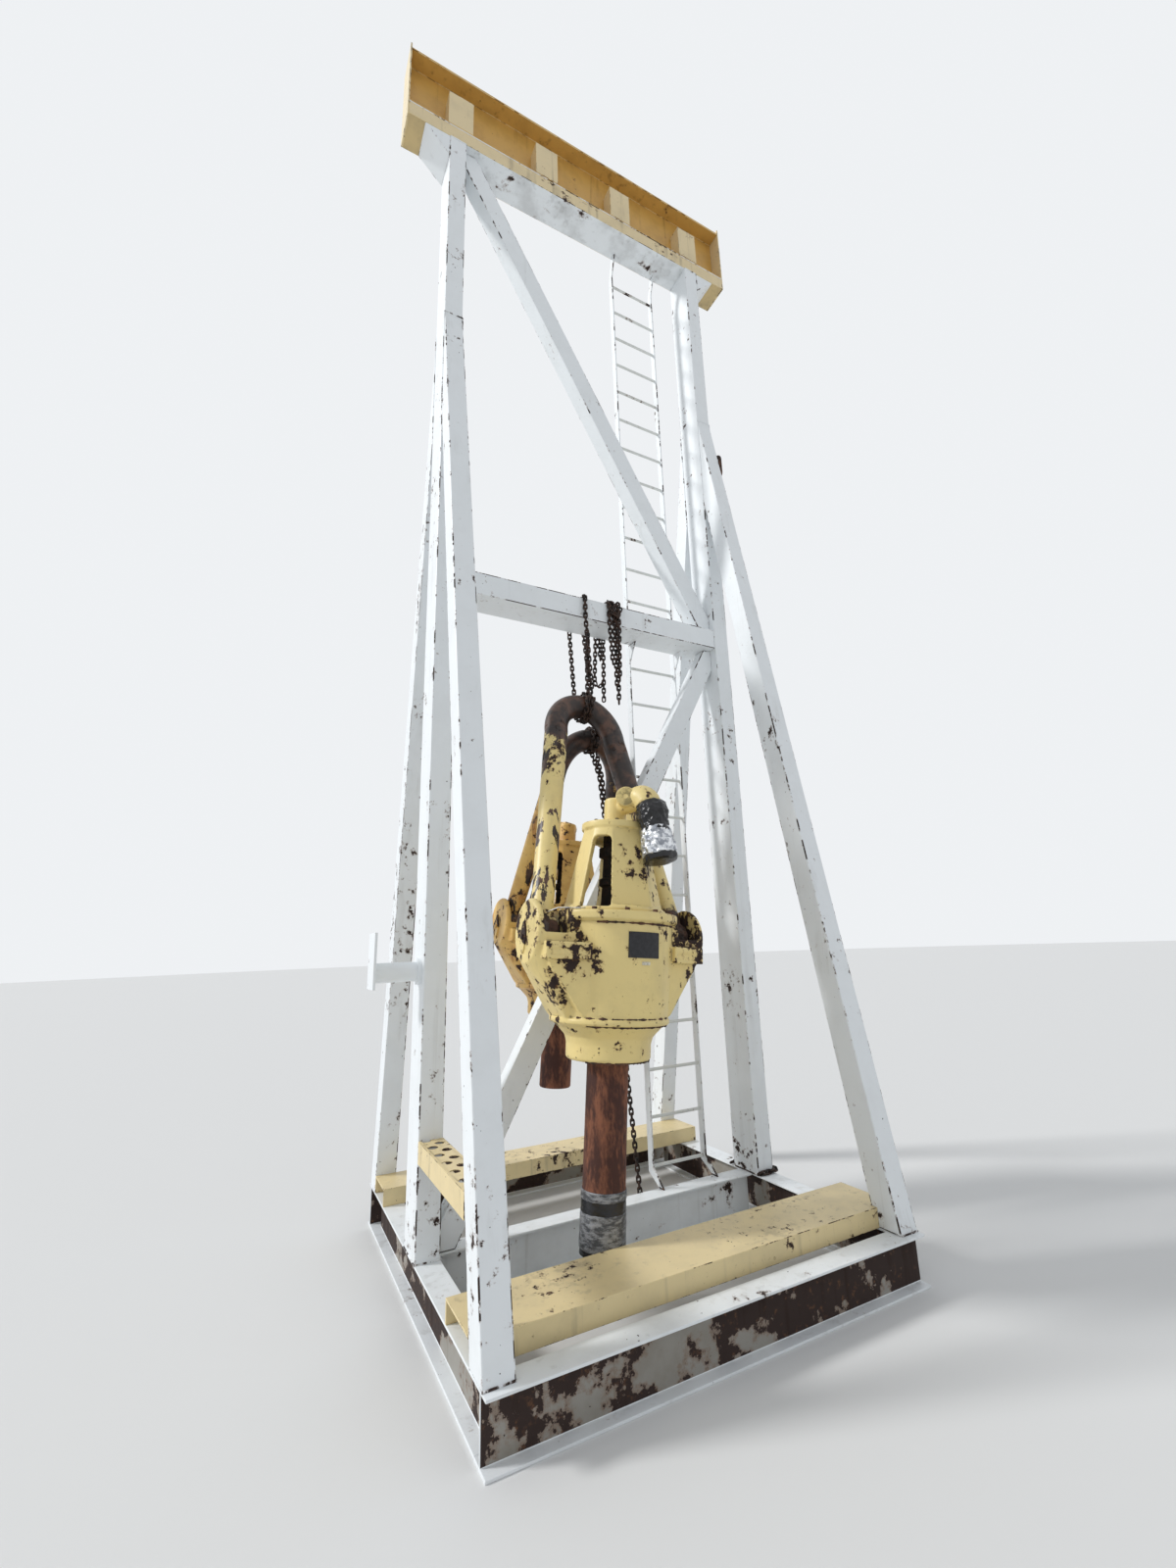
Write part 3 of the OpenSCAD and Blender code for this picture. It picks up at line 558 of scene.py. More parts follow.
# %% Hulls, and shapes moved or joined
def hull(points):
    """The smallest form without a hollow that takes in all the points."""
    mesh = bmesh.new()
    for p in points:
        mesh.verts.new(p)
    bmesh.ops.convex_hull(mesh, input=mesh.verts)
    loose = [v for v in mesh.verts if not v.link_faces]
    bmesh.ops.delete(mesh, geom=loose, context="VERTS")
    mesh.verts.index_update()
    shape = [v.co.copy() for v in mesh.verts], [[v.index for v in f.verts] for f in mesh.faces]
    mesh.free()
    return shape


def block(low, high):
    return hull([(x, y, z) for x in (low[0], high[0]) for y in (low[1], high[1]) for z in (low[2], high[2])])


def moved(shape, matrix):
    return [matrix @ Vector(p) for p in shape[0]], shape[1]


def along_x(radius, x0, x1, y=0.0, z=0.0, count=64):
    """A round bar that lies along X."""
    turn = Matrix.Translation((0, y, z)) @ Matrix.Rotation(math.pi / 2, 4, "Y")
    return moved(turned([(0, x0), (radius, x0), (radius, x1), (0, x1)], count), turn)


def joined(shapes):
    points, faces = [], []
    for more, polygons in shapes:
        faces += [[i + len(points) for i in f] for f in polygons]
        points += more
    return points, faces


# %% [markdown]
# ## Making a piece
# A shape becomes a piece when it gets a mesh object, a material and a CAD body to ride on. A
# turned shape goes straight to a piece. A casting is first joined and cut, then remeshed and smoothed.

# %% Make a piece
def mesh_of(name, shape, angle=None):
    """A mesh with its faces turned outward. Edges sharper than angle, in degrees, stay sharp."""
    mesh = bpy.data.meshes.new(name)
    mesh.from_pydata([tuple(p) for p in shape[0]], [], shape[1])
    work = bmesh.new()
    work.from_mesh(mesh)
    bmesh.ops.recalc_face_normals(work, faces=work.faces)
    if angle:
        for e in work.edges:
            e.smooth = len(e.link_faces) == 2 and e.calc_face_angle(0) < math.radians(angle)
    work.to_mesh(mesh)
    work.free()
    return mesh


def place(name, mesh, material, body, slot, node=None, smooth=True):
    mesh.polygons.foreach_set("use_smooth", [smooth] * len(mesh.polygons))
    mesh.materials.clear()
    mesh.materials.append(material)
    thing = bpy.data.objects.new(name, mesh)
    bpy.context.scene.collection.objects.link(thing)
    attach(thing, body)
    if node:
        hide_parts(node)
    return thing


def piece(name, shape, material, body, slot, node=None, smooth=True, angle=None):
    return place(name, mesh_of(name, shape, angle), material, body, slot, node, smooth)


# %% Make a casting
def casting(name, solids, cuts, voxel, rounds, matrix, *where):
    """Joins solids, cuts others out, and softens the result as sand moulding softens a casting."""
    helpers = []
    for shape in solids + cuts:
        helper = bpy.data.objects.new("helper", mesh_of("helper", shape))
        bpy.context.scene.collection.objects.link(helper)
        helpers.append(helper)
    core = helpers[0]
    for i, helper in enumerate(helpers[1:], 1):
        cut = core.modifiers.new("cut", "BOOLEAN")
        cut.operation = "UNION" if i < len(solids) else "DIFFERENCE"
        cut.solver = "EXACT"
        cut.object = helper
    grid = core.modifiers.new("grid", "REMESH")
    grid.mode, grid.voxel_size = "VOXEL", voxel
    soft = core.modifiers.new("soft", "SMOOTH")
    soft.factor, soft.iterations = 0.5, rounds
    bpy.context.view_layer.update()
    mesh = bpy.data.meshes.new_from_object(core.evaluated_get(bpy.context.evaluated_depsgraph_get()))
    mesh.transform(matrix)
    mesh.name = name
    for helper in helpers:
        bpy.data.objects.remove(helper)
    print(name, len(mesh.polygons), "faces")
    return place(name, mesh, *where)


# %% [markdown]
# ## The swivels
# A rotary swivel hangs from a bail, a thick bent bar whose eyes sit in slots beside the body. The body
# carries a bonnet with three windows and a gooseneck that is turned down. Both swivels lean a little,
# so they are built upright about their pin line and moved into place with one matrix each.

# %% Swivel frames
# at is the middle of the pin line. heading is the outlet's turn and tilt the bail's, in degrees.
# height, shoulder and arch are the bail's; stem is how far the stem reaches below the pins.
LEAN_ANGLE = math.radians(4.4)
SWIVELS = {
    "front": dict(size=1.0, at=(-0.264, -0.62, 1.876), heading=-68.0, tilt=-18.9, height=1.73, shoulder=0.225,
                  arch=0.280, stem=1.59, paint=yellow, bail=front_bail_paint, bail_slot="swivel_paint"),
    "rear": dict(size=0.96, at=(-0.038, 0.55, 1.974), heading=85.0, tilt=15.0, height=1.432, shoulder=0.258,
                 arch=0.341, stem=1.114, paint=orange, bail=rear_bail_paint, bail_slot="rusty_yellow")}
for name, swivel in SWIVELS.items():
    swivel["upright"] = Matrix.Translation(swivel["at"]) @ Matrix.Rotation(LEAN_ANGLE, 4, "Y")
    swivel["frame"] = swivel["upright"] @ Matrix.Scale(swivel["size"], 4)
    print(name, "swivel at", swivel["at"])

# %% [markdown]
# The body is turned, with a flange on top and a neck below. An ear stands out on each side: a round
# face, flat in front, that runs down to the band. A deep pocket between ear and body takes the bail.

# %% Body shapes
BODY = [(0, -0.66), (0.225, -0.66), (0.236, -0.648), (0.237, -0.575), (0.248, -0.538), (0.296, -0.488),
        (0.318, -0.472), (0.337, -0.467), (0.338, -0.443), (0.322, -0.436), (0.330, -0.42), (0.342, -0.27),
        (0.351, -0.12), (0.352, 0.052), (0.350, 0.062), (0.366, 0.070), (0.379, 0.076), (0.380, 0.116),
        (0.374, 0.124), (0, 0.124)]
SLOT_IN, SLOT_OUT = 0.350, 0.498  # the pocket's two sides, from the body's middle


def ear(side):
    rim = [(side * x, r * math.cos(a), r * math.sin(a)) for x, r in ((0.532, 0.168), (0.518, 0.18), (0.40, 0.18))
           for a in round_angles(40)]
    foot = [(side * x, y, z) for x in (0.257, 0.327) for y in (-0.125, 0.125) for z in (-0.433, -0.373)]
    root = [(side * x, y, z) for x in (0.17, 0.24) for y in (-0.18, 0.18) for z in (-0.18, 0.06)]
    return hull(rim + foot + root)


def apron(side):
    """The flat below an ear. It narrows to a point at the band and meets the body in a sharp valley."""
    face = [(0.49, 0.180, -0.06), (0.46, 0.184, -0.17), (0.25, 0.236, -0.06), (0.245, 0.234, -0.31),
            (0.262, 0.204, -0.434)]
    return hull([(side * x, k * y, z) for x, y, z in face for k in (-1, 1)])


def pocket(side):
    low, high = sorted((side * SLOT_IN, side * SLOT_OUT))
    return [along_x(0.110, low, high), block((low, -0.30, -0.005), (high, 0.30, 0.3))]


def lug(side, face):
    """The boss on the flat of an ear: a ledge over a shallow blank recess. Its face follows the flat."""
    def slab(x0, x1, low, high, back, front):
        ends = ((x0, 0.216 - 0.27 * (x0 - 0.49)), (x1, 0.216 - 0.27 * (x1 - 0.49)))
        return hull([(side * x, face * (y - k), z) for x, y in ends for k in (back, front) for z in (low, high)])

    return [slab(0.497, 0.258, -0.140, -0.052, 0.09, 0.0)], [slab(0.478, 0.276, -0.126, -0.084, 0.010, -0.01)]


# %% Cast the bodies
for name, swivel in SWIVELS.items():
    solids = [turned(BODY, 96), ear(-1), ear(1), apron(-1), apron(1)]
    above_flange = block((-SLOT_OUT, -0.30, 0.1242), (SLOT_OUT, 0.30, 0.26))
    cuts = pocket(-1) + pocket(1) + [above_flange]
    for side in (-1, 1):
        for face in (-1, 1):
            boss, recess = lug(side, face)
            solids += boss
            cuts += recess
    casting(f"{name}_casting", solids, cuts, 0.0066, 1, swivel["frame"], swivel["paint"], f"{name}_swivel",
            "swivel_paint", f"{name}_body")

# %% [markdown]
# ## Bonnets
# The bonnet is a hollow cone with a thick cap. Its three windows have round corners, and the cone is
# cut back to flat panels between them. The pipe inside is nearly black, painted shade for the bonnet's
# shaded inside, and it shows through the windows.

# %% Bonnets
WINDOWS = (101, 221, 341)  # where the windows face, in degrees
SHELL = [(0, 0.1243), (0.312, 0.1243), (0.312, 0.143), (0.293, 0.156), (0.194, 0.612), (0.200, 0.620),
         (0.200, 0.656), (0, 0.656)]
WASH_PIPE = [(0, 0.125), (0.115, 0.125), (0.115, 0.16), (0.07, 0.175), (0.066, 0.28), (0.085, 0.29),
             (0.085, 0.325), (0.066, 0.335), (0.064, 0.45), (0.09, 0.46), (0.09, 0.51), (0.066, 0.52),
             (0.066, 0.59), (0, 0.59)]


def window(turn):
    """A window's outline, pushed out of the cone. It narrows upward with the cone."""
    corner, low, high, half = 0.032, 0.146, 0.560, 0.058
    outline = [(0.092, low), (half, high - corner)]
    outline += [(half - corner + corner * math.cos(a), high - corner + corner * math.sin(a))
                for a in (math.radians(d) for d in (30, 60, 90))]
    outline += [(-y, z) for y, z in reversed(outline)]
    return moved(hull([(x, y, z) for x in (0.1, 0.36) for y, z in outline]), Matrix.Rotation(turn, 4, "Z"))


def flat_side(turn, half):
    """Cuts the cone back to a flat panel that spans twice the given angle."""
    near = math.cos(math.radians(half))
    edges = ((0.291 * near, 0.158), (0.1915 * near, 0.616), (0.5, 0.158), (0.5, 0.616))
    return moved(hull([(x, y, z) for y in (-0.3, 0.3) for x, z in edges]), Matrix.Rotation(turn, 4, "Z"))


for name, swivel in SWIVELS.items():
    cuts = [turned([(0, 0.11), (0.255, 0.11), (0.152, 0.585), (0, 0.585)], 64)]
    for turn in WINDOWS:
        cuts += [window(math.radians(turn)), flat_side(math.radians(turn + 43.5), 25.5),
                 flat_side(math.radians(turn + 85.5), 16.5)]
    casting(f"{name}_bonnet_casting", [turned(SHELL, 96)], cuts, 0.006, 1, swivel["frame"], swivel["paint"],
            f"{name}_swivel", "swivel_paint", f"{name}_bonnet")
    # The wash pipe takes the nearly black painted shade of the bonnet's inside.
    piece(f"{name}_wash_pipe", moved(turned(WASH_PIPE), swivel["frame"]), inside_painted_shade, f"{name}_swivel",
          "rusty_steel", angle=40)

# %% [markdown]
# ## Goosenecks
# The gooseneck stands on the bonnet: an upright with a plug in its side, and an elbow that leads the
# mud hose's end down. Its runs are bars that join into one casting, and the plug's face is turned.

# %% Goosenecks
RISE, ELBOW, REACH, OUTLET = 0.6563, 0.15, 0.256, 167
UPRIGHT = [(0, RISE), (0.078, RISE), (0.078, RISE + 0.014), (0.068, RISE + 0.022), (0.068, RISE + 0.155),
           (0.060, RISE + 0.165), (0, RISE + 0.166)]
PLUG_FACE = [(0, 0), (0.055, 0), (0.055, 0.003), (0.050, 0.005), (0.016, 0.003), (0.014, -0.001), (0, -0.001)]


def heading(swivel):
    return swivel["frame"] @ Matrix.Rotation(math.radians(swivel["heading"]), 4, "Z")


def bent():
    """The elbow: a narrow level bar, then a fuller bend, then down."""
    bend = 0.075
    middle = REACH - bend
    line = [Vector((0.02, 0, -0.04)), Vector((0.10, 0, -0.034)), Vector((0.145, 0, -0.016)),
            Vector((middle, 0, 0))]
    line += [Vector((middle + bend * math.sin(a), 0, bend * (math.cos(a) - 1)))
             for a in (math.radians(d) for d in range(12, 80, 11))]
    down = math.radians(OUTLET)
    line.append(line[-1] + Vector((math.sin(down), 0, math.cos(down))) * 0.03)
    return swept(line, [0.05, 0.05, 0.062, 0.074] + [0.078] * (len(line) - 6) + [0.072, 0.066], 28)


for name, swivel in SWIVELS.items():
    side = Matrix.Translation((0.094, 0, RISE + 0.150)) @ Matrix.Rotation(math.radians(-60), 4, "Z")
    plug = moved(along_x(0.060, 0.0, 0.096), side)
    on_end = side @ Matrix.Translation((0.0955, 0, 0)) @ Matrix.Rotation(math.pi / 2, 4, "Y")
    face = moved(moved(turned(PLUG_FACE, 40), on_end), heading(swivel))
    piece(f"{name}_plug_face", face, plug_grey, f"{name}_swivel", "swivel_paint", angle=30)
    elbow = moved(bent(), Matrix.Translation((0, 0, RISE + ELBOW)))
    casting(f"{name}_elbow", [turned(UPRIGHT), elbow, plug], [], 0.0055, 2, heading(swivel), swivel["paint"],
            f"{name}_swivel", "swivel_paint", f"{name}_gooseneck")

# %% [markdown]
# ## Outlet wraps
# Plastic film is tied over the outlet, with kitchen foil round its end. Crumpled film is a turned shape
# whose points are pushed in and out by noise made of cells; where two cells meet there is a sharp
# crease, and creases catch the light as real folds do.

# %% Outlet wraps
FILM = [(0.066, 0.040), (0.082, 0.052), (0.094, 0.085), (0.092, 0.125), (0.083, 0.155), (0.080, 0.19),
        (0.082, 0.228), (0.072, 0.234)]
SKIRT = [(0.068, 0.205), (0.081, 0.209), (0.086, 0.235), (0.094, 0.29), (0.099, 0.34), (0.098, 0.368),
         (0.092, 0.374)]
BAG = [(0.080, 0.34), (0.092, 0.35), (0.097, 0.385), (0.092, 0.402), (0.07, 0.408), (0, 0.408)]
TINY = 1e-6


def crumpled(shape, depth, scale, seed):
    """Pushes points toward or away from the Z axis, by the cells of a Voronoi noise."""
    points = []
    for p in shape[0]:
        away = Vector((p.x, p.y, 0))
        if away.length < TINY:
            points.append(p)
            continue
        q = p * scale + Vector((seed, seed * 2, 0))
        crease = noise.voronoi(q)[0][0] + 0.4 * noise.voronoi(q * 2.3)[0][0]
        points.append(p + away.normalized() * depth * (1.4 * crease - 0.9))
    return points, shape[1]


def dense(profile, step=0.006):
    """The same profile with a point at every step, so that noise has points to move."""
    out = [profile[0]]
    for a, b in zip(profile, profile[1:]):
        count = max(1, round(math.dist(a, b) / step))
        out += [(a[0] + (b[0] - a[0]) * i / count, a[1] + (b[1] - a[1]) * i / count)
                for i in range(1, count + 1)]
    return [(0.0 if r < TINY else r, z) for r, z in out if r >= TINY or z in (profile[0][1], profile[-1][1])]


for i, (name, swivel) in enumerate(SWIVELS.items()):
    down = (heading(swivel) @ Matrix.Translation((REACH, 0, RISE + ELBOW))
            @ Matrix.Rotation(math.radians(OUTLET), 4, "Y"))
    film = crumpled(turned(dense(FILM), 120), 0.012, 27, 3.1 + i)
    skirt = crumpled(turned(dense(SKIRT), 120), 0.012, 34, 7.7 + i)
    bag = crumpled(turned(dense(BAG, 0.008), 96), 0.009, 24, 4.4 + i)
    piece(f"{name}_film", moved(film, down), black_plastic, f"{name}_swivel", "wrap", f"{name}_outlet_wrap",
          angle=30)
    piece(f"{name}_foil", moved(skirt, down), foil, f"{name}_swivel", "wrap", angle=20)
    piece(f"{name}_bag_end", moved(bag, down), black_plastic, f"{name}_swivel", "wrap", angle=30)
    print(name, "wraps", sum(len(shape[0]) for shape in (film, skirt, bag)), "points")

# %% [markdown]
# ## Bails
# A bail is forged from one round bar. It is thicker at the top, where the hook wears it, and ends in
# two flat round eyes. The bar is swept along the same line as in the CAD and softened as a casting.

# %% Bails
def bail_line(height, eye, shoulder, arch):
    rise = height - arch
    right = [Vector((eye, 0, 0)), Vector((eye, 0, 0.09 * rise))]
    right += [Vector((eye - (eye - shoulder) * t, 0, rise * (0.09 + 0.91 * t)))
              for t in (0.1, 0.25, 0.4, 0.55, 0.7, 0.85)]
    over = [Vector((shoulder * math.cos(a), 0, rise + arch * math.sin(a)))
            for a in (math.pi * i / 32 for i in range(33))]
    return right + over + [Vector((-p.x, 0, p.z)) for p in reversed(right)]


def bail_frame(swivel):
    return swivel["upright"] @ Matrix.Rotation(math.radians(swivel["tilt"]), 4, "X")


for name, swivel in SWIVELS.items():
    s, height = swivel["size"], swivel["height"]
    line = bail_line(height, s * 0.428, swivel["shoulder"], swivel["arch"])
    radii = [s * (0.064 + 0.020 * p.z / height) for p in line]
    eyes = [along_x(s * 0.096, min(x), max(x)) for x in ((s * 0.376, s * 0.480), (-s * 0.376, -s * 0.480))]
    casting(f"{name}_bail_bar", [swept(line, radii, 32)] + eyes, [], 0.0085, 5, bail_frame(swivel), swivel["bail"],
            "stand", swivel["bail_slot"], f"{name}_bail")

# %% [markdown]
# ## Stems
# The stem below each swivel is plain pipe with red-brown rust. The front one is taped over near its
# foot, where film and tape keep dirt out of the thread.

# %% Stems
for name, swivel in SWIVELS.items():
    s, low = swivel["size"], -swivel["stem"]
    radius, top = 0.115 * s, -0.66 * s + 0.19
    bore, bore_end = radius - 0.042, low + 0.118
    pipe = [(0, bore_end), (bore, bore_end), (bore, low + 0.006), (radius - 0.034, low), (radius - 0.006, low),
            (radius, low + 0.008), (radius, top), (0, top)]
    piece(f"{name}_stem", moved(turned(pipe), swivel["upright"]), red_rust, f"{name}_stem", "red_rust",
          f"{name}_stem_pipe", angle=35)
    print(name, "stem", round(top - low, 3), "m long")

# %% Film and tape on the front stem
upright, low = SWIVELS["front"]["upright"], -SWIVELS["front"]["stem"]
film = dense([(0.1155, low + 0.292), (0.1185, low + 0.288), (0.1195, low + 0.13), (0.1185, low + 0.004),
              (0.1155, low + 0.002)], 0.008)
piece("stem_film", moved(crumpled(turned(film, 96), 0.0022, 30, 5.2), upright), black_plastic, "front_stem", "wrap",
      angle=30)
for k, (z0, z1) in enumerate(((0.255, 0.30), (0.03, 0.20))):
    band = dense([(0.117, low + z0), (0.1215, low + z0 + 0.004), (0.1215, low + z1 - 0.004),
                  (0.117, low + z1)], 0.008)
    piece(f"stem_tape_{k + 1}", moved(crumpled(turned(band, 96), 0.0018, 38, 8.2 + k), upright), grey_tape,
          "front_stem", "wrap", angle=30)

# %% [markdown]
# ## Small fittings on the swivels
# Bolts stand on the flange and on the bonnet's cap, and a keeper plate with one bolt covers each pin.

# %% Bolts and keepers
def bolt(x, y, z, radius=0.016, tall=0.016):
    head = turned([(0, 0), (radius, 0), (radius, tall), (radius * 0.8, tall * 1.15), (0, tall * 1.15)], 6)
    return moved(head, Matrix.Translation((x, y, z)))


def bolt_ring(count, first, circle, *size):
    """Bolts spread evenly round a circle, the first one at an angle in degrees."""
    angles = [math.radians(first + 360 // count * i) for i in range(count)]
    return [bolt(circle * math.cos(a), circle * math.sin(a), *size) for a in angles]


def keeper(side):
    """A plate, pinched at its middle like a waist, with rounded edges."""
    outline = [(0.004 + 0.036 * math.cos(a) * (1 - 0.35 * math.sin(a) ** 2), 0.092 * math.sin(a))
               for a in round_angles(28)]
    plate = hull([(side * x, 0.02 + y * k, -0.03 + z * k)
                  for x, k in ((0.529, 1), (0.541, 0.93)) for y, z in outline])
    return [plate, along_x(0.015, *sorted((side * 0.535, side * 0.552)), y=0.02, z=-0.03, count=6)]


for name, swivel in SWIVELS.items():
    bolts = bolt_ring(12, 15, 0.343, 0.121) + bolt_ring(8, 20, 0.168, 0.652, 0.013, 0.013)
    piece(f"{name}_bolts", moved(joined(bolts), swivel["frame"]), dark_rust, f"{name}_swivel", "rusty_steel",
          smooth=False)
    piece(f"{name}_keepers", moved(joined(keeper(-1) + keeper(1)), swivel["frame"]), swivel["paint"],
          f"{name}_swivel", "swivel_paint", angle=30)
    print(name, "bolts", len(bolts))

# %% [markdown]
# A blank black plate with four rivets and a small pale tag sit on the front of the body. They are bent
# to its curve, so they lie flat on it. A thin wire runs along the flange.

# %% Plate, tag and wire
BODY_FACE, PLATE_FACE = 0.350, 0.3555  # radius of the body, and of the plate's outer face
front = SWIVELS["front"]["frame"]


def curved_plate(x0, x1, z0, z1, thick):
    """A thin plate bent round the body, facing the front."""
    points, faces, across = [], [], 12
    for r in (BODY_FACE, BODY_FACE + thick):
        for z in (z0, z1):
            for i in range(across + 1):
                x = x0 + (x1 - x0) * i / across
                points.append(Vector((x, -math.sqrt(r * r - x * x), z)))
    row = across + 1
    for i in range(across):
        faces += [[i, i + 1, row + i + 1, row + i], [2 * row + i, 3 * row + i, 3 * row + i + 1, 2 * row + i + 1],
                  [i, 2 * row + i, 2 * row + i + 1, i + 1], [row + i, row + i + 1, 3 * row + i + 1, 3 * row + i]]
    faces += [[0, row, 3 * row, 2 * row], [across, 2 * row + across, 3 * row + across, row + across]]
    return points, faces


def fitting(name, shape, material, slot, **more):
    return piece(name, moved(shape, front), material, "front_swivel", slot, **more)


fitting("name_plate", curved_plate(-0.083, 0.109, -0.122, 0.013, 0.006), plate_black, "rusty_steel", angle=30)
fitting("small_tag", curved_plate(-0.002, 0.048, -0.158, -0.141, 0.004), tag_white, "swivel_paint", angle=30)
rivets = [bolt(x, -math.sqrt(PLATE_FACE ** 2 - x * x), z, 0.004, 0.002)
          for x in (-0.075, 0.101) for z in (-0.114, 0.005)]
fitting("plate_rivets", joined(rivets), dark_rust, "rusty_steel")
WIRE_LINE = [(-0.47, -0.13, 0.10), (-0.42, -0.16, 0.126), (-0.36, -0.14, 0.131), (-0.31, -0.17, 0.131),
             (-0.27, -0.19, 0.134)]
fitting("ring_wire", swept(WIRE_LINE, 0.003, 8), foil, "rusty_steel")
print("rivets", len(rivets))

# %% [markdown]
# Rust creeps out where two faces of the casting meet. It is a ragged bead along part of a circle,
# whose thickness comes from two noises, one slow and one quick.

# %% Rust in the seams
def rust_seam(radius, z, start, end, seed):
    """start and end are angles in degrees."""
    count = int((end - start) / 1.5)
    angles = [math.radians(start + (end - start) * i / count) for i in range(count + 1)]
    uneven = [0.55 + noise.noise(Vector((a * 9, seed, 0))) + 0.4 * noise.noise(Vector((a * 31, seed, 1)))
              for a in angles]
    thick = [0.0006 + max(0.0, 0.0085 * u) for u in uneven]
    return swept([Vector((radius * math.cos(a), radius * math.sin(a), z)) for a in angles], thick, 8)


SEAMS = ((0.3535, 0.058, -132, -44, 2.0), (0.3245, -0.4345, -150, -40, 5.0), (0.3185, -0.4735, -140, -30, 8.0),
         (0.3020, 0.1270, -60, -14, 11.0), (0.2250, -0.6590, -150, -30, 14.0))
fitting("front_seams", joined([rust_seam(*seam) for seam in SEAMS]), dark_rust, "swivel_paint")
print("seams", len(SEAMS))

# %% [markdown]
# ## Chains
# A chain is one link shape, repeated along a line, with every other link turned a quarter. The line
# is cut into equal steps, so the links always touch. All links of one chain are joined in one mesh.

# %% Chain links
LINK_STEP, LINK_WIRE, LINK_BEND = 0.035, 0.0062, 0.0122
LINK_ROLL = -39  # degrees; it shows each link at a slant, as in the photograph


def link():
    half = LINK_STEP / 2 + LINK_WIRE - LINK_BEND
    line = [Vector((LINK_BEND * math.cos(a), 0, half + LINK_BEND * math.sin(a)))
            for a in (math.pi * i / 6 for i in range(7))]
    line += [Vector((-p.x, 0, -p.z)) for p in line]
    return swept(line, LINK_WIRE, 7, closed=True)


LINK = link()


def chained(line, start=0):
    """Links along a line of points."""
    line = [Vector(p) for p in line]
    marks, walked = [0.0], 0.0
    for a, b in zip(line, line[1:]):
        walked += (b - a).length
        marks.append(walked)
    count = max(1, round(walked / LINK_STEP))

    def at(distance):
        i = max(k for k in range(len(marks) - 1) if marks[k] <= distance + 1e-9)
        t = (distance - marks[i]) / (marks[i + 1] - marks[i])
        return line[i].lerp(line[i + 1], t)

    shapes = []
    for i in range(count):
        a, b = at(walked * i / count), at(walked * (i + 1) / count * 0.999999)
        along = b - a if b.z > a.z else a - b
        turn = Vector((0, 0, 1)).rotation_difference(along).to_matrix().to_4x4()
        quarter = Matrix.Rotation(math.radians(90 * ((i + start) % 2) + LINK_ROLL), 4, "Z")
        shapes.append(moved(LINK, Matrix.Translation((a + b) / 2) @ turn @ quarter))
    return joined(shapes)


def ring_round(centre, radius):
    """A closed line round a bail's top, which leans with its swivel."""
    x, y, z = centre
    return [(x + radius * math.sin(a) * math.sin(LEAN_ANGLE), y + radius * math.cos(a),
             z + radius * math.sin(a) * math.cos(LEAN_ANGLE)) for a in (math.tau * i / 36 for i in range(37))]


def hang(name, runs, node):
    links = joined(runs)
    print(name, len(links[0]) // len(LINK[0]), "links")
    return piece(name, links, chain_steel, "stand", "chain_steel", node)


# %% [markdown]
# The front sling goes round the beam and down to the front bail. The rear sling does the same for the
# rear bail, and its long loose end hangs between the swivels.

# %% Hang the slings
BY, OVER = 0.141, 4.376  # a chain's middle beside the middle beam, and on top of it
front_top, rear_top = (bail_frame(s) @ Vector((0, 0, s["height"])) for s in SWIVELS.values())
print("bail tops", [round(v, 3) for v in (*front_top, *rear_top)])
hang("front_sling", [
    chained([(-0.125, BY, 4.18), (-0.125, BY, OVER), (-0.125, -BY, OVER), (-0.125, -BY, 4.18), (-0.09, -BY, 3.60)]),
    chained([(-0.125, BY, 4.178), (-0.128, 0.1, 3.85), front_top + Vector((0, 0.1, 0.01))]),
    chained([(-0.110, -0.139, 4.10), (-0.116, -0.13, 3.85), front_top - Vector((0, 0.1, -0.01))], 1),
    chained(ring_round(front_top, 0.101)),
    chained(ring_round(front_top + Vector((0.036, 0, -0.006)), 0.100), 1)], "front_sling_chain")
hang("rear_sling", [
    chained([(0.115, -BY, 4.30), (0.10, -0.139, OVER), (0.0, BY, OVER), (0.0, BY, 4.178), (0.03, 0.115, 3.75),
             rear_top - Vector((0, 0.097, -0.01))], 1),
    chained(ring_round(rear_top, 0.097)),
    chained(ring_round(rear_top + Vector((-0.036, 0, -0.004)), 0.096), 1),
    chained([rear_top - Vector((0.01, 0.0, 0.1)), (0.085, 0.115, 3.05), (0.108, 0.094, 2.70), (0.150, 0.093, 2.0),
             (0.212, 0.093, 0.95), (0.290, 0.105, 0.125)]),
    chained([rear_top - Vector((-0.03, 0.0, 0.1)), (0.105, 0.115, 3.05), (0.126, 0.096, 2.70), (0.158, 0.097, 2.2),
             (0.176, 0.096, 1.62)], 1)], "rear_sling_chain")

# %% [markdown]
# A spare chain hangs in a bundle: three strands over the beam, and short bights that tie them. A hook
# ends the front sling's loose strand, and one more chain is wrapped round the foot of the right post.

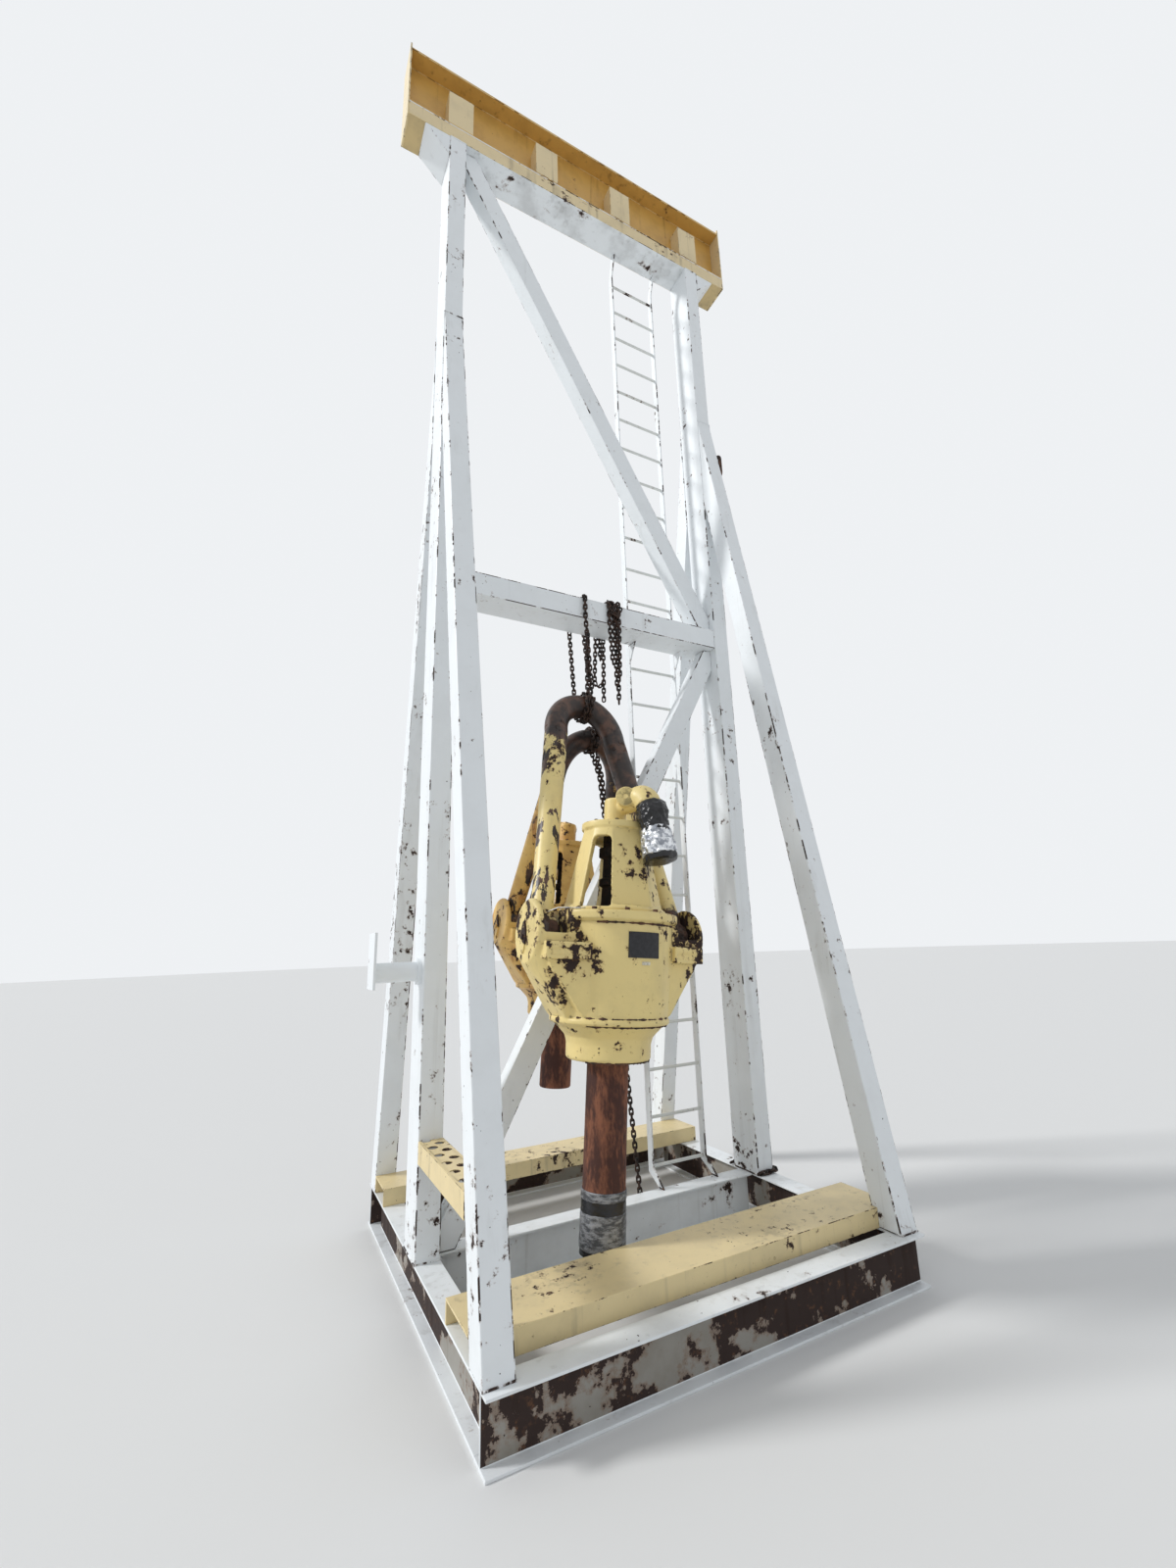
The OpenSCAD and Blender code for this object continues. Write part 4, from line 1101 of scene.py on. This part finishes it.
# %% Hang the spare chain, the hook and the foot chain
# A strand's place in front, its end there (x, z), its place behind, and its end there (x, z).
SPARE = ((0.078, 0.094, 3.86, 0.104, 0.083, 3.83), (0.118, 0.122, 3.66, 0.138, 0.140, 4.02),
         (0.160, 0.148, 3.74, 0.173, 0.160, 3.674))
strands = [chained([(far_end, BY, far_low), (far, BY, 4.19), (far, BY, OVER), (near, -BY, OVER), (near, -BY, 4.18),
                    (near_end, -BY, near_low)], k)
           for k, (near, near_end, near_low, far, far_end, far_low) in enumerate(SPARE)]
hang("spare_bundle", strands + [
    chained([(0.145, -0.150, 4.31), (0.134, -0.152, 3.9), (0.131, -0.142, 3.55)]),
    chained([(0.083, BY, 3.83), (0.094, BY, 3.795), (0.118, BY, 3.782), (0.142, BY, 3.80), (0.158, BY, 3.845)]),
    chained([(0.078, -0.150, 4.29), (0.11, -0.154, 4.25), (0.150, -0.154, 4.27), (0.176, -0.150, 4.33)])],
    "spare_chain")
hook = [Vector((-0.090 + 0.020 * math.sin(a), -BY, 3.555 - 0.020 * math.cos(a)))
        for a in (math.radians(d) for d in range(-150, 131, 20))]
piece("sling_hook", swept([(-0.092, -BY, 3.605)] + hook, 0.008, 10), chain_steel, "stand", "chain_steel")
hang("foot_wrap", [chained([(1.078, -0.147, 0.268), (1.15, -0.149, 0.266), (1.243, -0.147, 0.268),
                            (1.243, 0.0, 0.266), (1.243, 0.147, 0.268), (1.078, 0.147, 0.268)])], "foot_chain")

# %% [markdown]
# ## Welds
# Where two beams meet, a welder has run a bead. It is a thin rounded line with small ripples, in paint
# that has browned. Such lines make plain boxes read as welded steel.

# %% Weld beads
POST_IN, POST_OUT, POST_SIDE = 1.0915, 1.2265, 0.1305  # a post's two sides in X, and its half depth
BASE_TOP, HEAD_LOW, KNEE_LOW, KNEE_TOP = 0.252, 8.260, 5.60, 6.467
BEAM_LOW, BEAM_TOP, BEAM_SIDE = 4.193, 4.359, 0.124


def bead(a, b, radius=0.006):
    a, b = Vector(a), Vector(b)
    count = max(8, int((b - a).length / 0.012))
    line = [a.lerp(b, i / count) for i in range(count + 1)]
    return swept(line, [radius * (0.85 + 0.3 * abs(noise.noise(p * 40))) for p in line], 8)


beads = []
for side in (-1, 1):
    x0, x1 = sorted((side * POST_IN, side * POST_OUT))
    corners = [(x0, -POST_SIDE, BASE_TOP), (x1, -POST_SIDE, BASE_TOP), (x1, POST_SIDE, BASE_TOP),
               (x0, POST_SIDE, BASE_TOP)]
    beads += [bead(corners[i], corners[(i + 1) % 4]) for i in range(4)]
    beads += [bead((x0, y, HEAD_LOW), (x1, y, HEAD_LOW)) for y in (-POST_SIDE, POST_SIDE)]
    beam_end = (side * POST_IN, -BEAM_SIDE, BEAM_LOW)
    beads += [bead(beam_end, (side * POST_IN, -BEAM_SIDE, BEAM_TOP)),
              bead(beam_end, (side * POST_IN, BEAM_SIDE, BEAM_LOW))]
    for y in (-1, 1):
        beads += [bead((x0, y * leg, BASE_TOP), (x1, y * leg, BASE_TOP)) for leg in (1.262, 1.101)]
        beads += [bead((x, y * POST_SIDE, KNEE_TOP), (x, y * POST_SIDE, KNEE_LOW)) for x in (x0, x1)]
        beads.append(bead((x0, y * POST_SIDE, KNEE_TOP), (x1, y * POST_SIDE, KNEE_TOP)))
beads.append(bead((-1.556, -POST_SIDE, 8.391), (1.556, -POST_SIDE, 8.391), 0.004))
piece("weld_beads", joined(beads), white_edge, "stand", "white_paint")
print("beads", len(beads))
